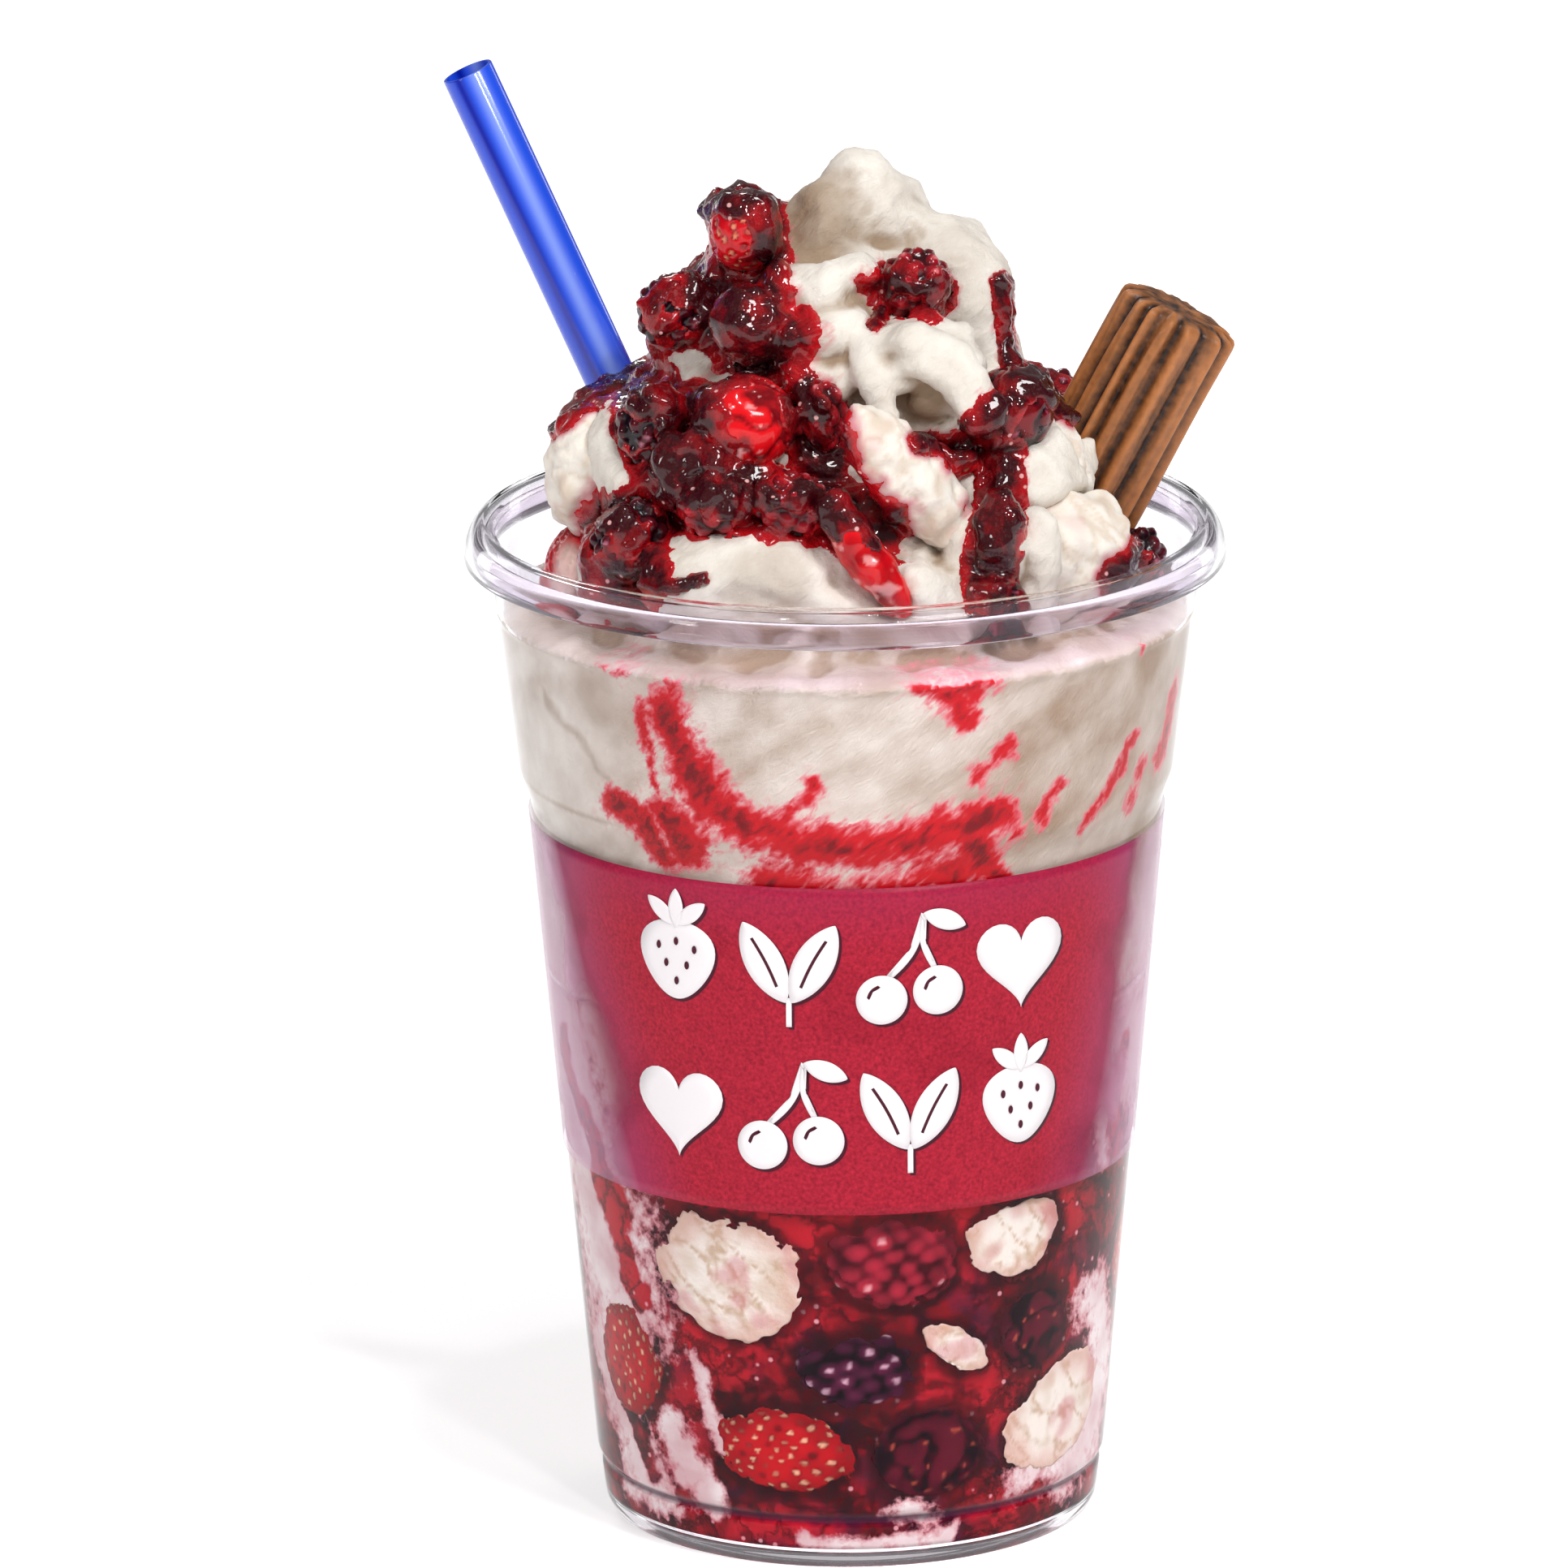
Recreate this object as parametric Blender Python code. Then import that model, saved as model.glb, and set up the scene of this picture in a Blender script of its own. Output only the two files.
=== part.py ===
"""Eton mess in a clear plastic cup, with a straw and a ribbed chocolate stick.

Run it with: blender --background --python part.py
Sizes are in millimetres, and MM turns them to Blender's metres. Z is up, X is to the right of the
front view, the front is at -Y, and the origin is the centre of the cup's base, on the table.
"""

import math

import bmesh
import bpy
import numpy as np
from mathutils import Euler, Matrix, Vector, noise

MM = 0.001
GAP = 0.3  # clearance that touching pieces keep
POCKET_GAP = 0.4  # the same round a rough piece, whose facets lean, so that 0.3 is left across them
SEGMENTS = 32  # sides of every turned shape, so that the cup and its filling stay parallel

# Cup
WALL = 0.8
FOOT_INNER_RADIUS = 26.8
FOOT_OUTER_RADIUS = 29.2
BASE_RECESS = 1.5
FLOOR_TOP = BASE_RECESS + WALL
# (height, outer radius) up the wall: base corner, groove, long taper, stacking shoulder, fine ring
WALL_LINE = [
    (0.6, 30.4),
    (1.8, 31.0),
    (5.9, 31.5),
    (6.9, 31.1),
    (8.0, 32.0),
    (93.0, 39.6),
    (96.5, 40.9),
    (116.2, 43.3),
    (116.9, 43.7),
    (122.6, 44.1),
]
INNER_WALL_START = 2  # the first row of WALL_LINE that lies above the floor
FLOOR_CORNER = (29.6, 30.3)  # inner radius at the floor, and one wall thickness above it
RIM_CENTRE = (44.9, 123.4)  # the rolled rim is a quarter of an ellipse about this point
RIM_REACH = (2.6, 4.6)
RIM_STEPS = 3
CUP_HEIGHT = RIM_CENTRE[1] + RIM_REACH[1]

# Printed film round the cup
BAND_BOTTOM = 48.0
BAND_TOP = 91.0
BAND_THICKNESS = 0.3

# Filling
LAYER_SPLIT = 70.0  # cream above, berry compote below, behind the printed film
CREAM_LEVEL = 118.0  # where the cream meets the wall
CREAM_VOXEL = 1.1
CREAM_TRIANGLES = 1500

# Straw
STRAW_TIP = (-46.5, 10.0, 182.9)
STRAW_LEAN = 23.8
STRAW_LENGTH = 166.0
STRAW_RADIUS = 3.25
STRAW_BORE_RADIUS = 2.85
STRAW_SIDES = 16

# Chocolate stick
STICK_TOP = (41.8, -1.0, 154.2)
STICK_LEAN = -28.0
STICK_LENGTH = 56.0
STICK_RADIUS = 8.05
STICK_RIBS = 15
STICK_RIB_DEPTH = 0.75
STICK_BENDS = 4  # stretches between the rings along it
STICK_EDGE = 0.9  # how far its end corners are rounded off

# The mound of whipped cream: (what it is, centre, half sizes)
CREAM_LUMPS = [
    ("foot", (0.5, -2, 118), (36, 35, 11)),
    ("lower tier", (-2.5, -2, 129), (30.5, 30, 15)),
    ("middle", (-3, 0, 141), (25, 24, 13)),
    ("upper tier", (-1, 0, 153), (19, 18, 15)),
    ("peak base", (2.5, -2, 164.5), (8, 8, 9)),
    ("peak", (2.4, -2.4, 171.4), (4.6, 5, 5.4)),
    ("peak fold", (-2.6, -6, 163), (6, 6, 9)),
    ("left peak", (-12.8, -5, 165.0), (4.9, 6.0, 7.4)),
    ("left shoulder", (-18.5, -5, 153), (6.4, 8, 7)),
    ("right shoulder", (13.6, -4, 157.6), (7.6, 9, 9.4)),
    ("right neck", (16.5, -4, 148.5), (6.4, 8, 7)),
    ("ruffle", (-1.5, -15.5, 157.0), (7.0, 6, 6.5)),
    ("curl top", (8.0, -20.0, 153.5), (6.5, 4.5, 4.0)),
    ("curl side", (13.0, -20.5, 148.5), (4.5, 4.5, 6.5)),
    ("left bulge", (-24, -12, 139), (9.5, 12, 8)),
    ("straw bulge", (-26.5, -2, 136), (9.6, 10, 9.4)),
    ("front fold", (-11, -30.5, 128.0), (14, 7, 7.5)),
    ("front right fold", (6, -30, 125.0), (12, 8, 7)),
    ("right bulge", (21, -15, 136), (9.5, 11, 10)),
    ("right side", (21.5, -4, 141), (6, 8, 7)),
    ("back fold", (-8, 22, 140), (13, 8, 9)),
    ("back shoulder", (7, 12, 152), (9, 9, 9)),
    ("back right fold", (22, 13, 132), (10, 12, 9)),
    ("back left fold", (-19, 23, 128), (10, 8, 8)),
    ("back crest", (-7, 8, 157), (8, 8, 7)),
    ("sauce run", (19, -31, 132), (2.6, 3.2, 8)),
    ("sauce pool", (9, -35, 126), (6, 3.6, 4)),
    ("left sauce run", (-29, -23, 127), (4, 5, 6)),
    ("middle sauce run", (-16, -27, 141), (9, 4, 6)),
]

# Pieces on the mound: name, kind, centre, half sizes, turn in degrees
TOPPINGS = [
    ("strawberry_top", "strawberry", (-12.0, -11.5, 167.0), (5.3, 5.0, 5.8), (20, -10, 30)),
    ("bramble_high_left", "drupes", (-20.6, -10.5, 157.2), (5.2, 4.8, 5.4), (0, 70, 20)),
    ("cherry_dark", "cherry", (-11.2, -17.5, 156.8), (5.4, 5.0, 5.4), (60, 0, 0)),
    ("cherry_bright", "cherry", (-12.2, -25.6, 146.6), (6.3, 6.0, 6.3), (40, 20, 0)),
    ("bramble_left", "drupes", (-23.8, -21.0, 145.2), (5.0, 5.0, 5.9), (20, 15, 0)),
    ("raspberry_middle", "drupes", (-2.6, -24.0, 146.9), (3.4, 3.4, 5.0), (10, -8, 0)),
    ("raspberry_hollow", "drupes", (8.6, -14.8, 161.0), (5.0, 4.8, 5.6), (35, 10, 0)),
    ("cherry_right", "cherry", (20.0, -20.2, 146.4), (5.8, 5.6, 5.4), (50, -30, 0)),
    ("strawberry_slice_flat", "slice", (11.6, -24.6, 140.4), (5.6, 2.2, 3.0), (60, 0, 10)),
    ("bramble_low_left", "drupes", (-26.2, -25.4, 131.8), (5.2, 5.0, 5.6), (15, 60, 0)),
    ("strawberry_slice_long", "slice", (2.4, -36.2, 132.4), (3.0, 2.6, 8.8), (-10, -34, 0)),
    ("raspberry_low_left", "drupes", (-16.0, -30.6, 137.6), (4.6, 4.2, 4.8), (0, 80, 0)),
    ("raspberry_low_right", "drupes", (-6.6, -32.0, 138.0), (4.4, 4.2, 5.0), (10, -70, 0)),
    ("cherry_rim_front", "cherry", (18.6, -34.0, 125.6), (4.0, 3.6, 3.6), (20, 0, 0)),
    ("bramble_far_right", "drupes", (36.6, -6.0, 123.6), (3.8, 4.6, 4.8), (0, 0, 15)),
    ("strawberry_wedge_left", "slice", (-34.2, -10.5, 124.4), (2.6, 4.6, 5.4), (0, 8, 20)),
    ("strawberry_back_top", "strawberry", (1.0, 17.5, 157.0), (5.6, 5.4, 6.4), (-50, 10, 0)),
    ("cherry_back", "cherry", (-11.5, 25.0, 149.0), (5.8, 5.8, 5.8), (-40, 0, 0)),
    ("raspberry_back", "drupes", (8.5, 24.0, 148.0), (5.0, 5.0, 5.6), (-60, 10, 0)),
    ("bramble_back_right", "drupes", (25.5, 21.5, 136.5), (5.2, 5.0, 5.6), (-30, 40, 0)),
    ("strawberry_back_low", "strawberry", (-1.5, 30.5, 133.0), (6.0, 5.6, 7.0), (-70, 30, 0)),
]

MERINGUES = [
    ("meringue_ridge", "meringue", (7.6, -31.2, 140.4), (5.0, 4.4, 14.4), (22, -37, 0)),
    ("meringue_left", "meringue", (-31.6, -11.0, 137.2), (5.6, 6.6, 8.6), (0, 10, 10)),
    ("meringue_right", "meringue", (28.0, -20.0, 128.6), (8.6, 7.6, 8.2), (0, 20, 40)),
    ("meringue_oval", "meringue", (27.0, -15.0, 139.4), (3.2, 3.0, 4.8), (0, -15, 0)),
    ("meringue_high_right", "meringue", (23.4, -7.0, 144.8), (3.0, 3.4, 4.4), (0, -30, 0)),
    ("meringue_back", "meringue", (15.0, 27.0, 134.0), (8.4, 6.4, 6.6), (0, 30, -30)),
    ("meringue_back_left", "meringue", (-21.5, 21.0, 138.5), (6.4, 6.0, 5.4), (20, 0, 40)),
]

# Pieces pressed against the inside of the wall: name, kind, bearing from the front in degrees
# towards +X, height, half sizes (along the wall, into the filling, up)
WALL_PIECES = [
    ("meringue_low_left", "meringue", -26.0, 38.8, (10.6, 7.0, 8.8), 24.0),
    ("strawberry_low", "strawberry", -15.5, 15.6, (9.4, 6.5, 6.8), 8.0),
    ("strawberry_low_far_left", "strawberry", -57.0, 23.4, (7.0, 6.0, 8.6), 0.0),
    ("bramble_low", "drupes", 1.0, 27.0, (7.8, 6.0, 5.6), 0.0),
    ("cherry_low", "cherry", 17.5, 16.2, (7.2, 6.5, 6.6), 0.0),
    ("raspberry_low", "drupes", 9.0, 41.4, (9.0, 6.5, 6.6), 0.0),
    ("meringue_low_right", "meringue", 37.0, 42.8, (7.2, 5.5, 5.2), 0.0),
    ("almond_low", "almond", 23.0, 29.2, (5.2, 2.4, 2.2), 38.0),
    ("cherry_low_right", "cherry", 43.0, 30.4, (5.6, 5.2, 6.2), 0.0),
    ("meringue_low_far_right", "meringue", 54.0, 17.6, (10.0, 6.5, 7.0), -26.0),
    ("strawberry_low_side", "strawberry", 88.0, 34.0, (8.4, 6.0, 8.0), 20.0),
    ("meringue_low_back_right", "meringue", 124.0, 22.0, (9.4, 6.5, 7.2), 10.0),
    ("raspberry_low_back", "drupes", 152.0, 38.0, (8.0, 6.2, 6.4), 0.0),
    ("strawberry_low_back", "strawberry", 180.0, 17.0, (8.6, 6.2, 7.2), -12.0),
    ("meringue_low_back_left", "meringue", -150.0, 37.0, (9.6, 6.5, 7.4), -20.0),
    ("bramble_low_back", "drupes", -122.0, 18.5, (7.4, 6.0, 6.0), 0.0),
    ("cherry_low_side", "cherry", -92.0, 36.0, (6.6, 6.0, 6.6), 0.0),
]
WALL_PIECE_SHARE = 0.62  # how much of its depth a piece keeps once the wall has flattened it

# Finish: colour, roughness, alpha
FINISHES = {
    "clear_plastic": ((0.86, 0.86, 0.92), 0.08, 0.3),
    "printed_film": ((0.46, 0.03, 0.08), 0.35, 0.85),
    "blue_plastic": ((0.03, 0.14, 0.78), 0.22, 1.0),
    "chocolate": ((0.20, 0.075, 0.025), 0.5, 1.0),
    "whipped_cream": ((0.84, 0.79, 0.73), 0.55, 1.0),
    "berry_compote": ((0.24, 0.008, 0.014), 0.15, 1.0),
    "red_berry": ((0.46, 0.01, 0.015), 0.18, 1.0),
    "dark_berry": ((0.10, 0.006, 0.015), 0.18, 1.0),
    "meringue": ((0.86, 0.82, 0.76), 0.7, 1.0),
}
KIND_FINISH = {
    "strawberry": "red_berry",
    "slice": "red_berry",
    "cherry": "dark_berry",
    "drupes": "dark_berry",
    "meringue": "meringue",
    "almond": "meringue",
}


def clear_scene():
    for item in list(bpy.data.objects):
        bpy.data.objects.remove(item, do_unlink=True)


def finish(name):
    """The material of that name, made the first time it is asked for."""
    made = bpy.data.materials.get(name)
    if made:
        return made
    colour, roughness, alpha = FINISHES[name]
    made = bpy.data.materials.new(name)
    made.use_nodes = True
    shader = made.node_tree.nodes["Principled BSDF"]
    shader.inputs["Base Color"].default_value = (*colour, 1.0)
    shader.inputs["Roughness"].default_value = roughness
    shader.inputs["Metallic"].default_value = 0.0
    shader.inputs["Alpha"].default_value = alpha
    return made


def new_object(name, shape, finish_name, smooth_angle=None):
    """Turns a bmesh in millimetres into an object in metres, and frees the bmesh."""
    bmesh.ops.recalc_face_normals(shape, faces=shape.faces)
    bmesh.ops.scale(shape, vec=(MM, MM, MM), verts=shape.verts)
    mesh = bpy.data.meshes.new(name)
    shape.to_mesh(mesh)
    shape.free()
    if smooth_angle is not None:
        mesh.shade_smooth()
        mesh.set_sharp_from_angle(angle=math.radians(smooth_angle))
    mesh.materials.append(finish(finish_name))
    made = bpy.data.objects.new(name, mesh)
    bpy.context.scene.collection.objects.link(made)
    return made


def turned(name, outline, finish_name):
    """Spins a closed outline of (radius, height) points round the Z axis."""
    shape = bmesh.new()
    rings = []
    for radius, height in outline:
        if radius == 0:
            rings.append([shape.verts.new((0, 0, height))])
            continue
        ring = []
        for k in range(SEGMENTS):
            angle = 2 * math.pi * k / SEGMENTS
            ring.append(shape.verts.new((radius * math.cos(angle), radius * math.sin(angle), height)))
        rings.append(ring)
    for ring, following in zip(rings, rings[1:] + rings[:1]):
        if len(ring) == len(following) == 1:
            continue
        for k in range(SEGMENTS):
            after = (k + 1) % SEGMENTS
            if len(ring) == 1:
                shape.faces.new((ring[0], following[k], following[after]))
            elif len(following) == 1:
                shape.faces.new((ring[k], following[0], ring[after]))
            else:
                shape.faces.new((ring[k], following[k], following[after], ring[after]))
    return new_object(name, shape, finish_name, smooth_angle=40)


def outer_radius(height):
    heights, radii = zip(*WALL_LINE)
    return float(np.interp(height, heights, radii))


def filling_radius(height):
    """How far the filling may reach at that height."""
    return outer_radius(height) - WALL - GAP


def rim_arc(shrink):
    """Points of the rolled rim from its free edge to the top, on an ellipse made smaller by shrink."""
    points = []
    for step in range(RIM_STEPS + 1):
        angle = math.pi / 2 * step / RIM_STEPS
        points.append(
            (
                RIM_CENTRE[0] + (RIM_REACH[0] - shrink) * math.cos(angle),
                RIM_CENTRE[1] + (RIM_REACH[1] - shrink) * math.sin(angle),
            )
        )
    return points


def make_cup():
    """A thin wall on a foot ring, with a groove, a stacking shoulder and a rim rolled outwards."""
    underside = [
        (0, BASE_RECESS),
        (FOOT_INNER_RADIUS - BASE_RECESS, BASE_RECESS),
        (FOOT_INNER_RADIUS, 0),
        (FOOT_OUTER_RADIUS, 0),
    ]
    outside = [(radius, height) for height, radius in WALL_LINE]
    under_rim = rim_arc(WALL)[::-1]
    under_rim[0] = (outside[-1][0] + WALL / 4, under_rim[1][1])
    over_rim = rim_arc(0)
    inside = [(radius - WALL, height) for height, radius in WALL_LINE[INNER_WALL_START:]][::-1]
    lip = [(inside[0][0] + WALL / 2, CUP_HEIGHT - WALL)]
    floor = [
        (FLOOR_CORNER[1], FLOOR_TOP + WALL),
        (FLOOR_CORNER[0], FLOOR_TOP),
        (0, FLOOR_TOP),
    ]
    outline = underside + outside + under_rim + over_rim + lip + inside + floor
    return turned("cup", outline, "clear_plastic")


def make_band():
    """The printed film, wrapped right round the taper just clear of the wall."""
    inner = [(outer_radius(z) + GAP, z) for z in (BAND_BOTTOM, BAND_TOP)]
    outer = [(radius + BAND_THICKNESS, z) for radius, z in inner[::-1]]
    return turned("printed_band", inner + outer, "printed_film")


def leaning(top, lean):
    """Places a shape that hangs down from its own origin: top in millimetres, lean in degrees about Y."""
    return Matrix.Translation(Vector(top)) @ Matrix.Rotation(math.radians(-lean), 4, "Y")


def make_straw():
    shape = bmesh.new()
    rings = []
    outline = (
        (STRAW_RADIUS, 0),
        (STRAW_RADIUS, -STRAW_LENGTH),
        (STRAW_BORE_RADIUS, -STRAW_LENGTH),
        (STRAW_BORE_RADIUS, 0),
    )
    for radius, height in outline:
        made = bmesh.ops.create_circle(
            shape,
            segments=STRAW_SIDES,
            radius=radius,
            matrix=Matrix.Translation((0, 0, height)),
        )
        rings.append(made["verts"])
    for ring, following in zip(rings, rings[1:] + rings[:1]):
        for k in range(STRAW_SIDES):
            after = (k + 1) % STRAW_SIDES
            shape.faces.new((ring[k], ring[after], following[after], following[k]))
    bmesh.ops.transform(shape, matrix=leaning(STRAW_TIP, STRAW_LEAN), verts=shape.verts)
    return new_object("straw", shape, "blue_plastic", smooth_angle=40)


def rod(name, top, lean, radius, length):
    """A plain closed rod, used to cut the holes that the straw and the stick stand in."""
    shape = bmesh.new()
    bmesh.ops.create_cone(
        shape,
        cap_ends=True,
        segments=STRAW_SIDES,
        radius1=radius,
        radius2=radius,
        depth=length,
        matrix=leaning(top, lean) @ Matrix.Translation((0, 0, -length / 2)),
    )
    return new_object(name, shape, "chocolate")


def make_stick():
    """A ribbed chocolate stick: rings of a wavy circle, drawn in only close to the two ends."""
    shape = bmesh.new()
    sides = STICK_RIBS * 2
    middle = [STICK_LENGTH * k / STICK_BENDS for k in range(1, STICK_BENDS)]
    edge = STICK_EDGE
    stations = [(0, edge), (edge, 0)] + [(z, 0) for z in middle]
    stations += [(STICK_LENGTH - edge, 0), (STICK_LENGTH, edge)]
    rings = []
    for depth, drawn_in in stations:
        along = depth / STICK_LENGTH
        ring = []
        for k in range(sides):
            angle = 2 * math.pi * k / sides + 0.12 * along
            rib = STICK_RIB_DEPTH * (0.7 + 0.3 * math.sin(5 * k + 4 * along)) * (k % 2)
            radius = STICK_RADIUS - rib - drawn_in
            point = (radius * math.cos(angle), 0.92 * radius * math.sin(angle), -depth)
            ring.append(shape.verts.new(point))
        rings.append(ring)
    for ring, following in zip(rings, rings[1:]):
        for k in range(sides):
            after = (k + 1) % sides
            shape.faces.new((ring[k], ring[after], following[after], following[k]))
    for ring, bulge in ((rings[0], 0.5), (rings[-1], -0.5)):
        centre = shape.verts.new((0, 0, ring[0].co.z + bulge))
        for k in range(sides):
            shape.faces.new((ring[k], ring[(k + 1) % sides], centre))
    bmesh.ops.transform(shape, matrix=leaning(STICK_TOP, STICK_LEAN), verts=shape.verts)
    return new_object("chocolate_stick", shape, "chocolate", smooth_angle=25)


def rounded(columns, rows, radius_at):
    """A closed ball of rows and columns whose radius follows radius_at(column, row, share down)."""
    shape = bmesh.new()
    poles = [shape.verts.new((0, 0, radius_at(0, 0, 0))), shape.verts.new((0, 0, -radius_at(0, rows, 1)))]
    rings = []
    for row in range(1, rows):
        down = row / rows
        ring = []
        for column in range(columns):
            turn = 2 * math.pi * (column + 0.5 * (row % 2)) / columns
            radius = radius_at(column, row, down)
            flat = radius * math.sin(math.pi * down)
            point = (flat * math.cos(turn), flat * math.sin(turn), radius * math.cos(math.pi * down))
            ring.append(shape.verts.new(point))
        rings.append(ring)
    for k in range(columns):
        after = (k + 1) % columns
        shape.faces.new((poles[0], rings[0][k], rings[0][after]))
        shape.faces.new((poles[1], rings[-1][after], rings[-1][k]))
    for row, (ring, following) in enumerate(zip(rings, rings[1:]), start=1):
        for k in range(columns):
            after = (k + 1) % columns
            if row % 2:  # this ring is turned half a step past the one below it
                shape.faces.new((ring[k], following[k], following[after]))
                shape.faces.new((ring[k], following[after], ring[after]))
            else:
                shape.faces.new((ring[k], following[k], ring[after]))
                shape.faces.new((ring[after], following[k], following[after]))
    return shape


def drupes():
    """A raspberry or bramble: drupelets stand up from the hollows between them."""
    return rounded(8, 7, lambda column, row, down: 1.0 if (column + row // 2) % 2 else 0.87)


def strawberry():
    """Broad at the shoulder and drawn in towards the tip."""
    return rounded(9, 5, lambda column, row, down: 1.0 - 0.22 * down**2 + 0.04 * math.sin(3 * column))


def cherry():
    """Round, with a dimple where the stalk was."""
    return rounded(8, 5, lambda column, row, down: 1.0 - 0.2 * (1 - down) ** 6)


def slice_of_berry():
    """A curved wedge cut from a strawberry."""
    shape = rounded(8, 6, lambda column, row, down: 1.0)
    for point in shape.verts:
        point.co.x += 0.28 * (point.co.z**2 - 0.4)
    return shape


def almond():
    return rounded(8, 5, lambda column, row, down: 1.0)


def meringue():
    """A broken chunk: a ball with crags, the same each time for the same place in it."""
    shape = bmesh.new()
    bmesh.ops.create_icosphere(shape, subdivisions=2, radius=1.0)
    for point in shape.verts:
        crag = noise.noise(point.co * 1.7) + 0.5 * noise.noise(point.co * 3.9)
        point.co *= 0.96 + 0.16 * crag
    return shape


KINDS = {
    "drupes": drupes,
    "strawberry": strawberry,
    "cherry": cherry,
    "slice": slice_of_berry,
    "almond": almond,
    "meringue": meringue,
}


def piece(name, kind, placed, sizes):
    """One berry or chunk of that kind, stretched to its half sizes and put in its place."""
    shape = KINDS[kind]()
    matrix = placed @ Matrix.Diagonal((*sizes, 1))
    bmesh.ops.transform(shape, matrix=matrix, verts=shape.verts)
    return new_object(name, shape, KIND_FINISH[kind], smooth_angle=50)


def pocket(name, kind, placed, sizes):
    """The hole that a piece sits in: the same shape, larger by the gap all round."""
    return piece(name, kind, placed, [size + POCKET_GAP for size in sizes])


def boolean(target, others, operation, solver="EXACT"):
    """Joins, cuts or crops target by other objects, and applies it."""
    group = bpy.data.collections.new("boolean")
    for other in others:
        group.objects.link(other)
    modifier = target.modifiers.new("boolean", "BOOLEAN")
    modifier.operation = operation
    modifier.operand_type = "COLLECTION"
    modifier.collection = group
    modifier.solver = solver
    bake_modifiers(target)
    bpy.data.collections.remove(group)


def bake_modifiers(target):
    graph = bpy.context.evaluated_depsgraph_get()
    mesh = bpy.data.meshes.new_from_object(target.evaluated_get(graph))
    target.modifiers.clear()
    target.data = mesh


def remove(items):
    for item in items:
        bpy.data.objects.remove(item, do_unlink=True)


def reach_of(item):
    """The lowest and highest corner of an object that has no transform of its own."""
    points = np.array([point.co for point in item.data.vertices])
    return points.min(axis=0), points.max(axis=0)


def near(one, other):
    """Whether two objects' boxes meet."""
    (low, high), (other_low, other_high) = reach_of(one), reach_of(other)
    return bool((low < other_high).all() and (other_low < high).all())


def make_mound():
    """Lumps of whipped cream run together into one skin, then thinned to few triangles."""
    shape = bmesh.new()
    for index, (_, centre, sizes) in enumerate(CREAM_LUMPS):
        start = len(shape.verts)
        matrix = Matrix.Translation(Vector(centre)) @ Matrix.Diagonal((*sizes, 1))
        bmesh.ops.create_icosphere(shape, subdivisions=4, radius=1.0, matrix=matrix)
        shape.verts.ensure_lookup_table()
        for point in shape.verts[start:]:
            away = (point.co - Vector(centre)).normalized()
            fold = noise.noise(point.co * 0.11 + Vector((index, 0, 0)))
            point.co += away * 1.6 * fold
    mound = new_object("mound", shape, "whipped_cream")
    remesh = mound.modifiers.new("one skin", "REMESH")
    remesh.mode = "VOXEL"
    remesh.voxel_size = CREAM_VOXEL * MM
    soften = mound.modifiers.new("soften", "SMOOTH")
    soften.iterations = 3
    bake_modifiers(mound)
    thin = mound.modifiers.new("thin", "DECIMATE")
    mound.data.calc_loop_triangles()
    thin.ratio = CREAM_TRIANGLES / len(mound.data.loop_triangles)
    bake_modifiers(mound)
    return mound


def filling(name, finish_name, heights, rise):
    """A turned plug that follows the inside of the wall between the first and last of heights."""
    side = [(filling_radius(z), z) for z in heights]
    crown = [(side[-1][0] * 0.5, heights[-1] + rise)] if rise else []
    outline = [(0, heights[0])] + side + crown + [(0, heights[-1] + rise)]
    return turned(name, outline, finish_name)


def on_wall(bearing, height, sizes, roll):
    """Where a piece pressed to the wall sits, with its X along the wall and its Y towards the axis."""
    angle = math.radians(bearing)
    radius = filling_radius(height) - sizes[1] * WALL_PIECE_SHARE
    spot = Vector((radius * math.sin(angle), -radius * math.cos(angle), height))
    turn = Matrix.Rotation(angle, 4, "Z") @ Matrix.Rotation(math.radians(roll), 4, "Y")
    return Matrix.Translation(spot) @ turn


def on_mound(centre, turn):
    angles = Euler([math.radians(a) for a in turn]).to_matrix().to_4x4()
    return Matrix.Translation(Vector(centre)) @ angles


def settle(rows):
    """Makes the pieces in order. A later one gives way to those before it, and each leaves its pocket."""
    pieces, pockets = [], []
    for name, kind, placed, sizes in rows:
        made = piece(name, kind, placed, sizes)
        crowding = [hull for hull in pockets if near(made, hull)]
        if crowding:
            boolean(made, crowding, "DIFFERENCE")
        pieces.append(made)
        pockets.append(pocket(name + "_pocket", kind, placed, sizes))
    return pieces, pockets


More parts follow.
